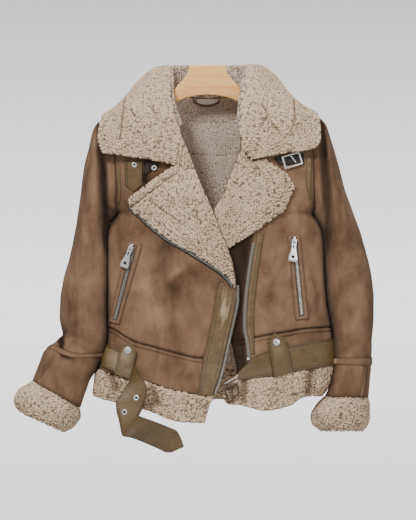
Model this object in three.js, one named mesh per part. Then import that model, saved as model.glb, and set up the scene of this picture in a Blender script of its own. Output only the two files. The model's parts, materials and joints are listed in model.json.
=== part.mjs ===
// Sherpa lined biker jacket on a wooden hanger: every cut piece is its own closed wall.
// Millimetres, +Z up, the front faces -Y, the origin is the middle of the hanger crown's top.
import * as THREE from "three";

// Driving dimensions
const SHELL = 4.5; // bonded suede and fleece
const FLEECE = 8; // turned-back fleece of collar, lapels, hems and cuffs
const STRAP = 3; // belt and throat straps
const SEAM = 0.3; // room between two sewn pieces
const BOXY = 3; // how square the body's section is: 2 is an ellipse
const NECK_HALF = 70; // half the neck opening at the shoulder seam
const NECK_Z = -48; // height of the neck point
const TIP_Z = -96; // height of the shoulder seam's end
const CAP_Z = -182; // below this height the body keeps its full depth
const ARMPIT_Z = -268;
const ARMHOLE_DEPTH = 46;
const OVERLAP_LIFT = 15; // how far the right front stands out over the left lapel
const OVERLAP_LIFT_LOW = 10; // the same below the lapels
const BELT_WIDTH = 47;
const SLEEVE_SIDES = 26;
const LOOK = {
  suede: ["#8f715b", 0.95, 0],
  leather: ["#6e5640", 0.5, 0],
  strap: ["#84694d", 0.5, 0],
  fleece: ["#b6a597", 1, 0],
  metal: ["#c9c9c7", 0.25, 1],
  wood: ["#d8b592", 0.5, 0],
  label: ["#cfc8bd", 0.8, 0],
};

// Number helpers
const mix = (a, b, t) => a + (b - a) * t;
const clamp = (v, a, b) => Math.min(Math.max(v, a), b);
const smooth = (a, b, v) => {
  const t = clamp((v - a) / (b - a), 0, 1);
  return t * t * (3 - 2 * t);
};
const bell = (d) => Math.exp(-d * d);
const add = (a, b, k = 1) => a.map((v, i) => v + b[i] * k);
const sub = (a, b) => a.map((v, i) => v - b[i]);
const cross = (a, b) => [
  a[1] * b[2] - a[2] * b[1],
  a[2] * b[0] - a[0] * b[2],
  a[0] * b[1] - a[1] * b[0],
];
const unit = (a) => {
  const l = Math.hypot(...a) || 1;
  return a.map((v) => v / l);
};

// A smooth function through rows of [position, value, value ...] in rising or falling order
function track(rows) {
  const up = rows[0][0] < rows.at(-1)[0] ? rows : [...rows].reverse();
  const slope = (i, c) => {
    if (i === 0 || i === up.length - 1) {
      const j = i === 0 ? 0 : i - 1;
      return (up[j + 1][c] - up[j][c]) / (up[j + 1][0] - up[j][0]);
    }
    const a = (up[i][c] - up[i - 1][c]) / (up[i][0] - up[i - 1][0]);
    const b = (up[i + 1][c] - up[i][c]) / (up[i + 1][0] - up[i][0]);
    return a * b <= 0 ? 0 : (2 * a * b) / (a + b);
  };
  return (p, c = 1) => {
    const q = clamp(p, up[0][0], up.at(-1)[0]);
    let i = 0;
    while (i < up.length - 2 && q > up[i + 1][0]) i++;
    const h = up[i + 1][0] - up[i][0];
    const t = (q - up[i][0]) / h;
    const a = up[i][c];
    const b = up[i + 1][c];
    const m = slope(i, c) * h;
    const n = slope(i + 1, c) * h;
    const t2 = t * t;
    const t3 = t2 * t;
    return (2 * t3 - 3 * t2 + 1) * a + (t3 - 2 * t2 + t) * m + (3 * t2 - 2 * t3) * b + (t3 - t2) * n;
  };
}
// A smooth curve through points, at t from 0 to 1, spaced by index
function curve(points) {
  const rows = points.map((p, i) => [i / (points.length - 1), ...p]);
  const at = track(rows);
  return (t) => points[0].map((_, k) => at(t, k + 1));
}
// A curve through points with straight legs
const legs = (points) => (t) => {
  const s = clamp(t, 0, 1) * (points.length - 1);
  const i = Math.min(Math.floor(s), points.length - 2);
  return points[i].map((v, k) => mix(v, points[i + 1][k], s - i));
};

// Meshes
const root = new THREE.Group();
function node(name, look, positions, faces) {
  const geometry = new THREE.BufferGeometry();
  geometry.setAttribute("position", new THREE.Float32BufferAttribute(positions.flat(), 3));
  geometry.setIndex(faces.flat());
  geometry.computeVertexNormals();
  const [color, roughness, metalness] = LOOK[look];
  const material = new THREE.MeshStandardMaterial({ color, roughness, metalness });
  material.name = look;
  const mesh = new THREE.Mesh(geometry, material);
  mesh.name = name;
  root.add(mesh);
}
// Closed wall between two grids of points; round says that the rows close on themselves
function wall(name, look, outer, inner, round = false) {
  const nu = outer.length;
  const nv = outer[0].length;
  const pts = [...outer.flat(), ...inner.flat()];
  const id = (side, i, j) => side * nu * nv + (i % nu) * nv + j;
  const faces = [];
  const quad = (a, b, c, d) => faces.push([a, b, c], [a, c, d]);
  const last = round ? nu : nu - 1;
  for (let i = 0; i < last; i++) {
    for (let j = 0; j < nv - 1; j++) {
      quad(id(0, i, j), id(0, i + 1, j), id(0, i + 1, j + 1), id(0, i, j + 1));
      quad(id(1, i, j), id(1, i, j + 1), id(1, i + 1, j + 1), id(1, i + 1, j));
    }
    quad(id(0, i, 0), id(1, i, 0), id(1, i + 1, 0), id(0, i + 1, 0));
    quad(id(0, i, nv - 1), id(0, i + 1, nv - 1), id(1, i + 1, nv - 1), id(1, i, nv - 1));
  }
  if (!round)
    for (let j = 0; j < nv - 1; j++) {
      quad(id(0, 0, j), id(0, 0, j + 1), id(1, 0, j + 1), id(1, 0, j));
      quad(id(0, nu - 1, j), id(1, nu - 1, j), id(1, nu - 1, j + 1), id(0, nu - 1, j + 1));
    }
  let volume = 0;
  for (const [a, b, c] of faces) {
    const n = cross(pts[b], pts[c]);
    volume += pts[a][0] * n[0] + pts[a][1] * n[1] + pts[a][2] * n[2];
  }
  if (volume < 0) faces.forEach((f) => f.reverse());
  node(name, look, pts, faces);
}
const grid = (nu, nv, at) =>
  Array.from({ length: nu + 1 }, (_, i) =>
    Array.from({ length: nv + 1 }, (_, j) => at(i / nu, j / nv)),
  );
// Wall that follows a surface of points with normals, from height h0 to height h1 over it
function cover(name, look, nu, nv, surface, h0, h1) {
  const lift = (h) =>
    grid(nu, nv, (u, v) => {
      const s = surface(u, v);
      return add(s.p, s.n, typeof h === "function" ? h(u, v) : h);
    });
  wall(name, look, lift(h1), lift(h0));
}
// Wall around a middle surface whose normals come from its own points
function sheet(name, look, nu, nv, at, thick, side = 1) {
  const e = 0.004;
  const both = (sign) =>
    grid(nu, nv, (u, v) => {
      const a = sub(at(Math.min(u + e, 1), v), at(Math.max(u - e, 0), v));
      const b = sub(at(u, Math.min(v + e, 1)), at(u, Math.max(v - e, 0)));
      const n = unit(cross(a, b));
      return add(at(u, v), n, ((sign * thick) / 2) * side);
    });
  wall(name, look, both(1), both(-1));
}
// Flat plate of an outline in its own frame, from height a to height b
function plate(name, look, edge, openings, frame, a, b) {
  const ring = (l) => l.map(([x, y]) => new THREE.Vector2(x, y));
  const turned = (l, way) => (THREE.ShapeUtils.area(ring(l)) * way > 0 ? l : [...l].reverse());
  const outline = turned(edge, 1);
  const holes = openings.map((l) => turned(l, -1));
  const flat = THREE.ShapeUtils.triangulateShape(ring(outline), holes.map(ring));
  const all = [outline, ...holes].flat();
  const pts = [b, a].flatMap((h) => all.map(([x, y]) => frame(x, y, h)));
  const faces = flat.flatMap((f) => [f, [...f].reverse().map((k) => k + all.length)]);
  let start = 0;
  for (const loop of [outline, ...holes]) {
    for (let i = 0; i < loop.length; i++) {
      const p = start + i;
      const q = start + ((i + 1) % loop.length);
      faces.push([p, p + all.length, q], [q, p + all.length, q + all.length]);
    }
    start += loop.length;
  }
  let volume = 0;
  for (const [i, j, k] of faces) {
    const n = cross(pts[j], pts[k]);
    volume += pts[i][0] * n[0] + pts[i][1] * n[1] + pts[i][2] * n[2];
  }
  if (volume < 0) faces.forEach((f) => f.reverse());
  node(name, look, pts, faces);
}
const circle = (x, y, r, n = 14) =>
  Array.from({ length: n }, (_, i) => {
    const a = (2 * Math.PI * i) / n;
    return [x + r * Math.cos(a), y + r * Math.sin(a)];
  });
const box = (x0, x1, y0, y1) => [
  [x0, y0],
  [x1, y0],
  [x1, y1],
  [x0, y1],
];

// Body section: height, right side seam, left side seam, half depth
const SIDE = track([
  [-40, -172, 190, 57],
  [-97, -172, 190, 57],
  [-175, -165, 190.5, 57],
  [-268, -163, 192, 60],
  [-285, -169, 199, 60],
  [-300, -176, 205, 60],
  [-320, -180.5, 210, 60],
  [-345, -182.5, 212, 60],
  [-384, -183, 212.5, 60],
  [-432, -182, 216, 59],
  [-460, -180.5, 221, 58],
  [-498, -182, 225, 56],
  [-539, -191, 226, 58],
  [-570, -203, 222, 63],
  [-590, -207, 212, 65],
  [-610, -204, 198, 65],
  [-650, -198, 192, 65],
]);
// Front edge of the right front: down the roll line, then the placket
const EDGE_RIGHT = track([
  [-48, -70],
  [-85, -61],
  [-128, -46],
  [-153, -36],
  [-206, -17],
  [-250, 3],
  [-298, 22],
  [-332, 36],
  [-365, 46],
  [-390, 50],
  [-404, 51],
  [-423, 51],
  [-452, 46],
  [-496, 36],
  [-539, 26.6],
  [-573, 17],
  [-597, 8],
  [-620, 0],
  [-646, -7],
]);
// Front edge of the left front: down the roll line, then the wind flap
const EDGE_LEFT = track([
  [-48, 70],
  [-85, 64],
  [-119, 60],
  [-148, 60],
  [-163, 56],
  [-201, 41],
  [-240, 27],
  [-264, 12],
  [-318, -8],
  [-372, -20],
  [-430, 10],
  [-500, 43],
  [-554, 53],
  [-575, 42],
  [-596, 30],
  [-620, 38],
]);
const ridge = (x) => {
  const a = Math.abs(x);
  if (a < NECK_HALF) return NECK_Z + 60 * (1 - (a / NECK_HALF) ** 2);
  return mix(NECK_Z, TIP_Z, clamp((a - NECK_HALF) / 103, 0, 1.15));
};
const armhole = (z) =>
  z < ARMPIT_Z ? 0 : ARMHOLE_DEPTH * Math.sqrt(Math.max(0, 1 - ((z + 182.5) / 86) ** 2));
// How far the right front stands out over the left one
const overlap = (x, z) =>
  smooth(-100, -30, x) *
  (z > -300
    ? mix(OVERLAP_LIFT, 3, smooth(-250, -170, z))
    : mix(OVERLAP_LIFT_LOW, OVERLAP_LIFT, smooth(-475, -375, z)));
// Soft folds of the fronts and back: middle of the trough, its half length, half width, lean, depth
const FOLDS = [
  { face: "right", x: -92, z: -380, long: 90, wide: 17, lean: 0.25, deep: 3 },
  { face: "right", x: -40, z: -440, long: 60, wide: 14, lean: -0.3, deep: 2.5 },
  { face: "right", x: -140, z: -280, long: 50, wide: 12, lean: 0.1, deep: 3 },
  { face: "left", x: 120, z: -330, long: 60, wide: 15, lean: 0.35, deep: 2.5 },
  { face: "left", x: 125, z: -430, long: 60, wide: 14, lean: -0.2, deep: 2.5 },
  { face: "left", x: 186, z: -330, long: 60, wide: 10, lean: -0.15, deep: 3 },
  { face: "back", x: -60, z: -350, long: 110, wide: 24, lean: 0.1, deep: 5 },
  { face: "back", x: 80, z: -340, long: 120, wide: 26, lean: -0.1, deep: 5 },
];
function fold(face, x, z) {
  let d = 0;
  for (const f of FOLDS)
    if (f.face === face)
      d += f.deep * bell((x - f.x - f.lean * (z - f.z)) / f.wide) * bell((z - f.z) / f.long);
  return d;
}
// Point of the body's outside on the right front, left front or back
function body(face, x, z) {
  const left = SIDE(z, 1);
  const right = SIDE(z, 2);
  const t = clamp((2 * x - left - right) / (right - left), -1, 1);
  const top = ridge(x);
  const k = clamp((z - CAP_Z) / (top - CAP_Z), 0, 1);
  const depth = SIDE(z, 3) * (1 - k ** 2.2) ** (1 / 2.2);
  const hole = Math.min(armhole(z), depth);
  const s = (1 - Math.abs(t) ** BOXY) ** (1 / BOXY);
  const y = hole + (depth - hole) * s - fold(face, x, z) * s;
  if (face === "back") return [x, Math.max(y, 0.2), z];
  return [x, -Math.max(y + (face === "right" ? overlap(x, z) : 0), 0.2), z];
}
function bodyNormal(face, x, z) {
  const d = 2.5;
  const left = SIDE(z, 1);
  const right = SIDE(z, 2);
  const a = sub(body(face, Math.min(x + d, right), z), body(face, Math.max(x - d, left), z));
  const b = sub(body(face, x, z + d), body(face, x, z - d));
  const n = unit(cross(a, b));
  return face === "back" ? n.map((v) => -v) : n;
}
// Surface patch of the body, given the flat place of each point
const on = (face, place) => (u, v) => {
  const [x, z] = place(u, v);
  return { p: body(face, x, z), n: bodyNormal(face, x, z) };
};

// Seams across the body, as heights by place
const WAIST = {
  right: track([[-210, -470], [-183, -473], [-131, -500], [-98, -509], [-57, -520], [-15, -529], [60, -532]]),
  left: track([[-20, -500], [60, -497], [81, -493], [113, -487], [143, -482], [170, -477], [230, -473]]),
  back: () => -473,
};
const HEM_SEAM = {
  right: track([[-208, -545], [-181, -556], [-137, -567], [-98, -575], [-70, -586], [-43, -591], [8, -597], [40, -597]]),
  left: track([[20, -558], [86, -560], [120, -556], [153, -549], [186, -543], [235, -538]]),
  back: track([[-208, -545], [235, -538]]),
};
const HEM = {
  right: track([[-208, -596], [-190, -602], [-164, -608], [-117, -619], [-94, -627], [-71, -637], [-49, -642], [-7, -644], [30, -645]]),
  left: track([[20, -598], [38, -610], [62, -613], [103, -622], [148, -614], [172, -600], [193, -597], [215, -598]]),
  back: track([[-208, -596], [0, -604], [215, -598]]),
};
const TOP = {
  right: (x) => (x > -NECK_HALF ? NECK_Z - 0.01 : ridge(x)),
  left: (x) => (x < NECK_HALF ? NECK_Z - 0.01 : ridge(x)),
  back: (x) => (Math.abs(x) < NECK_HALF ? NECK_Z - 14 * (1 - (x / NECK_HALF) ** 2) : ridge(x)),
};
const EDGES = {
  right: [(z) => SIDE(z, 1), EDGE_RIGHT],
  left: [(z) => SIDE(z, 2), EDGE_LEFT],
  back: [(z) => SIDE(z, 1), (z) => SIDE(z, 2)],
};
// Cut piece between two seams; columns crowd at the side seams, rows at the shoulder
function panel(name, look, face, low, high, nu, nv, thick, crowd = 1) {
  const [from, to] = EDGES[face];
  const place = (u, v) => {
    const w = face === "back" ? (1 - Math.cos(Math.PI * u)) / 2 : 1 - Math.cos((Math.PI * u) / 2);
    const q = 1 - (1 - v) ** crowd;
    let x = mix(from(-300), to(-300), w);
    let z = 0;
    for (let k = 0; k < 8; k++) {
      z = mix(low(x), high(x), q);
      x = mix(from(z), to(z), w);
    }
    return [x, z];
  };
  const side = face === "back" ? [0, 1] : [0];
  const lay = (h) =>
    grid(nu, nv, (u, v) => {
      const [x, z] = place(u, v);
      const p = body(face, x, z);
      let n = bodyNormal(face, x, z);
      const atSide = side.includes(u) && z < ARMPIT_Z;
      if (atSide || (v === 1 && crowd > 1 && Math.abs(p[1]) < 6)) n = unit([n[0], 0, n[2]]);
      const q = add(p, n, h);
      const keep = face === "back" ? Math.max(q[1], 0.2) : Math.min(q[1], -0.2);
      return [q[0], keep, q[2]];
    });
  wall(name, look, lay(0), lay(-thick));
}
for (const [face, gap] of [["right", 11], ["left", 11], ["back", 18]]) {
  const inset = (f, d) => (x) => f(x) + d;
  panel(face === "back" ? "back" : `front_${face}`, "suede", face,
    inset(WAIST[face], SEAM / 2), inset(TOP[face], -0.3), gap, 17, SHELL, 1.7);
  panel(`hem_panel_${face}`, "suede", face,
    inset(HEM_SEAM[face], SEAM / 2), inset(WAIST[face], -SEAM / 2), gap, 3, SHELL);
  panel(`hem_fleece_${face}`, "fleece", face,
    HEM[face], inset(HEM_SEAM[face], -SEAM / 2), gap, 3, SHELL + 2);
}

// Sleeves: rings from the armhole to the cuff seam, each with its outer and inner end seen from the
// front and half its depth
const ARMS = {
  right: {
    groove: -189,
    rings: [
      [-174.3, -97, -164.3, -268, 47],
      [-193, -102, -174, -280, 50],
      [-207, -119, -184, -297, 54],
      [-214, -148, -188, -318, 57],
      [-222, -182, -188.5, -337, 58],
      [-229, -235, -188.5, -357, 59],
      [-238.5, -293, -188.5, -378, 60],
      [-248, -341, -188.5, -400, 60],
      [-260, -385, -188, -425, 58],
      [-266, -423, -187.5, -449, 57],
      [-267, -457, -188, -471, 55],
      [-262.5, -486, -190, -493, 53],
      [-273, -498, -196, -512, 52],
      [-296, -517, -203, -533, 51],
      [-306, -544, -214, -572, 49],
      [-316.5, -570, -229, -618.5, 46],
    ],
    cuff: [
      [-317.5, -570.5, -230, -619, 46],
      [-343, -590, -229.5, -634, 54],
      [-350, -606, -236, -647, 57],
      [-346, -619, -246, -657, 56],
      [-338, -627, -258, -663, 50],
    ],
  },
  left: {
    groove: 218,
    rings: [
      [192.8, -93, 194.2, -268.5, 47],
      [201, -96, 203, -284, 50],
      [212.5, -107, 212, -304, 54],
      [224, -139, 216.5, -322, 57],
      [236.5, -182, 217.5, -340, 58],
      [249, -225, 218, -358, 59],
      [263, -264, 218, -379, 60],
      [278, -307, 218.5, -399, 60],
      [289.5, -351, 220.5, -420, 58],
      [297, -390, 223.5, -441, 57],
      [300, -423, 228, -463, 56],
      [300, -457, 232.5, -488, 54],
      [298, -496, 236.5, -510, 52],
      [297, -534, 240, -534, 50],
      [294, -568, 234, -562, 49],
      [291, -600.5, 212, -598.6, 48],
    ],
    cuff: [
      [291.3, -601, 209.5, -599.2, 48],
      [293, -618, 195, -617, 56],
      [293, -634, 187, -634, 58],
      [290, -650, 189, -648, 57],
      [281, -661, 203, -660, 50],
    ],
  },
};
// Creases of the sleeves: place along, place around as a share of a turn, reach of each, depth
const CREASES = {
  right: [
    { along: 0.73, round: 0.1, reach: 0.03, sweep: 0.16, deep: 7 },
    { along: 0.8, round: 0.2, reach: 0.025, sweep: 0.12, deep: 5 },
    { along: 0.62, round: 0.32, reach: 0.03, sweep: 0.12, deep: 4 },
    { along: 0.9, round: 0.22, reach: 0.03, sweep: 0.1, deep: -3 },
  ],
  left: [
    { along: 0.7, round: 0.3, reach: 0.03, sweep: 0.14, deep: 4 },
    { along: 0.83, round: 0.34, reach: 0.025, sweep: 0.12, deep: 5 },
    { along: 0.5, round: 0.18, reach: 0.05, sweep: 0.1, deep: 3 },
  ],
};
// Point of a sleeve: a runs 0 to 1 round it from the outside over the front, s 0 to 1 down it
function arm(side, a, s, rings = ARMS[side].rings) {
  const r = curve(rings)(s);
  const turn = 2 * Math.PI * a;
  const c = Math.cos(turn);
  const n = Math.sin(turn);
  const squash = Math.sign(n) * Math.abs(n) ** 0.85;
  const x = (r[0] + r[2]) / 2 + ((r[0] - r[2]) / 2) * c;
  const z = (r[1] + r[3]) / 2 + ((r[1] - r[3]) / 2) * c;
  let deep = r[4];
  if (rings === ARMS[side].rings) {
    const g = ARMS[side].groove;
    if (n > 0) deep -= 17 * bell((x - g) / 9) * smooth(0.02, 0.1, s) * smooth(-345, -275, z);
    for (const f of CREASES[side])
      deep -= f.deep * bell((s - f.along - 0.25 * (a - f.round)) / f.reach) * bell((a - f.round) / f.sweep);
  }
  return [x, -deep * squash, z];
}
function armNormal(side, a, s, rings) {
  const e = 0.01;
  const round = sub(arm(side, a + e, s, rings), arm(side, a - e, s, rings));
  const down = sub(arm(side, a, Math.min(s + e, 1), rings), arm(side, a, Math.max(s - e, 0), rings));
  const n = unit(cross(round, down));
  const r = curve(rings || ARMS[side].rings)(s);
  const out = sub(arm(side, a, s, rings), [(r[0] + r[2]) / 2, 0, (r[1] + r[3]) / 2]);
  return n[0] * out[0] + n[1] * out[1] + n[2] * out[2] < 0 ? n.map((v) => -v) : n;
}
function tube(name, look, side, rings, along, thick) {
  const lay = (h) =>
    Array.from({ length: SLEEVE_SIDES }, (_, i) =>
      Array.from({ length: along + 1 }, (_, j) => {
        const a = i / SLEEVE_SIDES;
        const s = j / along;
        return add(arm(side, a, s, rings), armNormal(side, a, s, rings), h);
      }),
    );
  wall(name, look, lay(0), lay(-thick), true);
}
for (const side of ["right", "left"]) {
  tube(`sleeve_${side}`, "suede", side, ARMS[side].rings, 19, SHELL);
  tube(`cuff_${side}`, "fleece", side, ARMS[side].cuff, 5, FLEECE - 1);
}

// Leather band across each forearm
const BANDS = {
  right: { upper: 0.8, lower: 0.845 },
  left: { upper: 0.855, lower: 0.885 },
};
for (const side of ["right", "left"]) {
  const b = BANDS[side];
  const lay = (h) =>
    Array.from({ length: SLEEVE_SIDES }, (_, i) =>
      [b.upper, b.lower].map((s) => {
        const a = i / SLEEVE_SIDES;
        return add(arm(side, a, s), armNormal(side, a, s), h);
      }),
    );
  wall(`sleeve_band_${side}`, "leather", lay(3), lay(1.4), true);
}

// Lapels: turned-back fleece between the roll line and the free edge
const LAPELS = {
  right: {
    top: legs([[-46, -128.6], [-57, -184], [-100, -213], [-140, -243]]),
    roll: (v) => {
      const z = mix(-128.6, -403, v);
      return [EDGE_RIGHT(z) - 0.5, z];
    },
    free: curve([[-140, -243], [-134, -257], [-118, -273], [-84, -303], [-36, -333], [3, -357], [27, -374], [41, -388], [50.5, -403]]),
  },
  left: {
    top: legs([[60, -148.6], [75, -176], [104, -173], [142, -200], [156, -221]]),
    roll: (v) => {
      const z = mix(-148.6, -372, v);
      return [EDGE_LEFT(z) + 0.5, z];
    },
    free: curve([[156, -221], [147, -238], [138, -259], [109, -283], [70, -310], [36, -331], [6, -352], [-19.5, -372]]),
  },
};
// Flat place on a lapel: u from the roll line to the free edge, v from the notch down
function lapelPlace(side, u, v) {
  const l = LAPELS[side];
  const a = l.top(u);
  const r = l.roll(v);
  const f = l.free(v);
  const end = l.roll(1);
  return [0, 1].map(
    (k) =>
      (1 - v) * a[k] + v * end[k] + (1 - u) * r[k] + u * f[k] -
      ((1 - u) * (1 - v) * l.top(0)[k] + u * (1 - v) * l.top(1)[k] + v * end[k]),
  );
}
const LAPEL_GAP = 0.8;
for (const side of ["right", "left"]) {
  const at = on(side, (u, v) => lapelPlace(side, u, 0.97 * v));
  const puff = (u, v) => 2 * Math.sin(Math.PI * u) * (1 - v);
  cover(`lapel_${side}`, "fleece", 10, 14, at,
    (u, v) => LAPEL_GAP + puff(u, v), (u, v) => LAPEL_GAP + (side === "left" ? 7 : FLEECE) + puff(u, v) / 2);
}

// Collar: the fall between crest and outer edge, from the right notch round the neck to the left one
const CREST = curve([
  [-60, -66, -180],
  [-54.5, -66, -155],
  [-49.5, -65, -126],
  [-58, -62, -103],
  [-66, -47, -70],
  [-69, -10, -36],
  [-68, 34, -6],
  [-42, 54, -4],
  [0, 62, -4],
  [44, 54, -4],
  [74, 34, -4],
  [67, -10, -36],
  [62, -47, -72],
  [60, -62, -112],
  [63, -65, -143],
  [70, -66, -158],
  [79, -66, -171],
]);
const RIM = curve([
  [-187, -64, -160],
  [-194, -60, -144],
  [-195, -53, -128],
  [-190, -38, -103],
  [-185, -10, -92],
  [-172, 24, -96],
  [-150, 50, -108],
  [-90, 70, -112],
  [0, 72, -113],
  [90, 70, -112],
  [153, 50, -104],
  [177, 24, -92],
  [190, -10, -86],
  [199, -38, -98],
  [202, -53, -127],
  [200, -60, -141],
  [192, -64, -153],
]);
// How far the fall bulges up and out at its middle
const BULGE = track([[0, 3], [0.12, 8], [0.25, 22], [0.38, 30], [0.5, 26], [0.62, 30], [0.75, 22], [0.88, 8], [1, 3]]);
const COLLAR_ROOM = 5; // from the jacket's outside to the collar's underside
// Moves a point out of the shoulders' rounded form, seen from the side
function clearOfShoulder(p) {
  const [x, y, z] = p;
  const room = COLLAR_ROOM + FLEECE / 2;
  const deep = y < 0 ? 60 : 57;
  if (z <= CAP_Z) return [x, y < 0 ? Math.min(y, -deep - room) : Math.max(y, deep + room), z];
  const rise = z - CAP_Z;
  const share = (Math.abs(y) / deep) ** 2.2 + (rise / (ridge(x) - CAP_Z)) ** 2.2;
  const scale = Math.max(1, share ** (-1 / 2.2) + room / Math.hypot(y, rise));
  return [x, y * scale, CAP_Z + rise * scale];
}
function collar(u, v) {
  const c = CREST(u);
  const across = sub(RIM(u), c);
  const flat = unit([c[0] + across[0] / 2, c[1] + across[1] / 2, 0]);
  const arch = BULGE(u) * Math.sin(Math.PI * v ** 0.75) * 0.75;
  return clearOfShoulder(add(add(c, across, v), [flat[0] * 0.7, flat[1] * 0.7, 1], arch));
}
sheet("collar", "fleece", 40, 9, collar, FLEECE, 1);

// Collar stand from the neck seam up to the crest
const NECK = curve([
  [-45, -50, -110],
  [-56, -40, -86],
  [-63, -16, -43],
  [-62, 12, -40],
  [-40, 39, -54.5],
  [0, 45, -59],
  [42, 39, -54.5],
  [62, 12, -40],
  [62, -16, -43],
  [56, -40, -90],
  [54, -50, -118],
]);
const STAND_IN = 6.8; // from the crest inwards to the stand's middle
sheet("collar_stand", "fleece", 26, 3, (u, v) => {
  const w = mix(0.17, 0.83, u);
  const c = CREST(w);
  const flat = unit([c[0], c[1], 0]);
  const n = NECK(u);
  return add(c, flat, -STAND_IN).map((k, i) => mix(n[i], k, v));
}, SHELL);

// Leather bands of the front edges and armholes
const between = (a, b, z0, z1) => (u, v) => {
  const z = mix(z0, z1, v);
  return [mix(a(z), b(z), u), z];
};
const BAND_RIGHT = track([[-384, 44], [-394, 22], [-438, 12], [-486, 3], [-529, -7], [-577, -14], [-599, -19]]);
cover("placket_right", "leather", 3, 12,
  on("right", (u, v) => {
    const z = mix(-595, mix(-390, -416, u), v);
    return [mix(BAND_RIGHT(z), EDGE_RIGHT(z) - 0.6, u), z];
  }), 1, 2.8);
const ZIP_LEFT = track([[-293, 89], [-338, 80], [-390, 72.5], [-438, 67.7], [-472, 66.8], [-505, 72], [-529, 74.5]]);
const BAND_LEFT = track([[-293, 101.5], [-390, 87], [-457, 82], [-520, 83]]);
cover("placket_left", "leather", 2, 12,
  on("left", between((z) => ZIP_LEFT(z) + 4, (z) => BAND_LEFT(z) + 1, -522, -305)), 0.8, 2.6);
const TAPE_RIGHT = track([[-166, -158], [-225, -156.5], [-250, -158]]);
const TAPE_LEFT = track([[-162, 178], [-211, 178], [-254, 186]]);
cover("armhole_tape_right", "leather", 1, 6,
  on("right", between((z) => TAPE_RIGHT(z) - 4, TAPE_RIGHT, -250, -176)), 0.5, 2);
cover("armhole_tape_left", "leather", 2, 8,
  on("left", between(TAPE_LEFT, (z) => TAPE_LEFT(z) + mix(3, 8, smooth(-255, -190, z)), -254, -170)), 0.5, 2);

// Zips: right half along the lapel's free edge and the placket, left half beside its band
const ZIP_WIDTH = 5;
cover("zip_lapel", "metal", 1, 16, on("right", (u, v) => {
  const t = mix(0.09, 0.93, v);
  const p = lapelPlace("right", 1, 0.97 * t);
  const q = lapelPlace("right", 1, 0.97 * Math.min(t + 0.02, 1));
  const d = unit([q[0] - p[0], q[1] - p[1]]);
  const out = mix(1.9, ZIP_WIDTH + 1.3, u);
  return [p[0] + d[1] * out, p[1] - d[0] * out];
}), 2.2, 4.6);
cover("zip_right", "metal", 1, 12, (u, v) => {
  const z = mix(-594, -412, v);
  const x = EDGE_RIGHT(z);
  const n = bodyNormal("right", x, z);
  return { p: add(body("right", x, z), [1, 0, 0], mix(0.5, ZIP_WIDTH, u)), n };
}, -2.6, -0.4);
cover("zip_left", "metal", 1, 12,
  on("left", between((z) => ZIP_LEFT(z) - 2.6, (z) => ZIP_LEFT(z) + 2.6, -528, -322)), 0.6, 2.8);

// Pockets: a leather welt frame laid on the front, a zip in it, a slider with its pull
const POCKETS = {
  right: { top: [-130, -322], foot: [-168, -466], wide: [26, 19], pull: [-149, -368], start: [-135.5, -331] },
  left: { top: [155, -308], foot: [170, -459], wide: [21, 23], pull: [150.5, -357], start: [154.5, -318] },
};
for (const side of ["right", "left"]) {
  const k = POCKETS[side];
  const along = unit([k.foot[0] - k.top[0], k.foot[1] - k.top[1]]);
  const acrossDir = [-along[1], along[0]];
  const length = Math.hypot(k.foot[0] - k.top[0], k.foot[1] - k.top[1]);
  const place = (lane, v) => {
    const w = lane * mix(k.wide[0], k.wide[1], v) * 0.5;
    return [
      k.top[0] + along[0] * length * v + acrossDir[0] * w,
      k.top[1] + along[1] * length * v + acrossDir[1] * w,
    ];
  };
  cover(`pocket_welt_${side}`, "leather", 3, 10, on(side, (u, v) => place(mix(-1, 1, u), v)), 0.9, 2.3);
  cover(`pocket_zip_${side}`, "metal", 1, 10, on(side, (u, v) => place(mix(-0.24, 0.24, u), mix(0.05, 0.95, v))),
    2.6, 3.8);
  // Slider and pull share a frame: s down the pull, w across it, n out of the cloth
  const at = { p: body(side, ...k.start), n: bodyNormal(side, ...k.start) };
  const end = add(body(side, ...k.pull), bodyNormal(side, ...k.pull), 1);
  const s = unit(sub(end, at.p));
  const w = unit(cross(at.n, s));
  const n = cross(s, w);
  const base = add(at.p, n, 4.4);
  const frame = (a, b, h) => add(add(add(base, s, a), w, b), n, h);
  const upright = (a, b, h) => frame(a, h, b);
  plate(`pocket_slider_${side}`, "metal",
    [[-7, 0], [6, 0], [6, 2.2], [3, 2.2], [3, 6.6], [-5, 6.6], [-5, 2.2], [-7, 2.2]],
    [[[-3.6, 2.6], [-3.7, 5.4], [1.7, 5.4], [1.6, 2.6]]], upright, -1.6, 1.6);
  plate(`pocket_pull_${side}`, "metal",
    [[-2.6, -3.2], [-1.4, -4.4], [8, -4.4], [12, -3.4], [30, -5.6], [36, -5.6], [38, -3.6], [38, 3.6],
      [36, 5.6], [30, 5.6], [12, 3.4], [8, 4.4], [-1.4, 4.4], [-2.6, 3.2]],
    [box(-0.9, 6, -2.4, 2.4), box(27, 32, -2, 2)], frame, 3.2, 4.8);
}

// Belt: round the back between the loops, its free end hanging at the right, its buckle end at the left
const beltHeights = {
  right: track([[-198, -519], [-176, -529], [-157, -538], [-130, -543]]),
  left: track([[110, -536], [149, -531], [186, -524.5], [228, -518]]),
};
const BELT_OUT = 1.3;
cover("belt_right", "strap", 8, 2, on("right", (u, v) => {
  const x = mix(-188.5, -141, 1 - Math.cos((Math.PI * u) / 2));
  const z = beltHeights.right(x) + mix(-0.5, 0.5, v) * mix(41, 44, u);
  return [Math.max(x, SIDE(z, 1) + 0.2), z];
}), BELT_OUT, BELT_OUT + STRAP);
cover("belt_left", "strap", 10, 2, on("left", (u, v) => {
  const x = mix(225, 128, 1 - Math.cos((Math.PI * u) / 2));
  const z = beltHeights.left(x) + mix(-0.5, 0.5, v) * BELT_WIDTH;
  return [Math.min(x, SIDE(z, 2) - 0.2), z];
}), BELT_OUT, BELT_OUT + STRAP);
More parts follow.
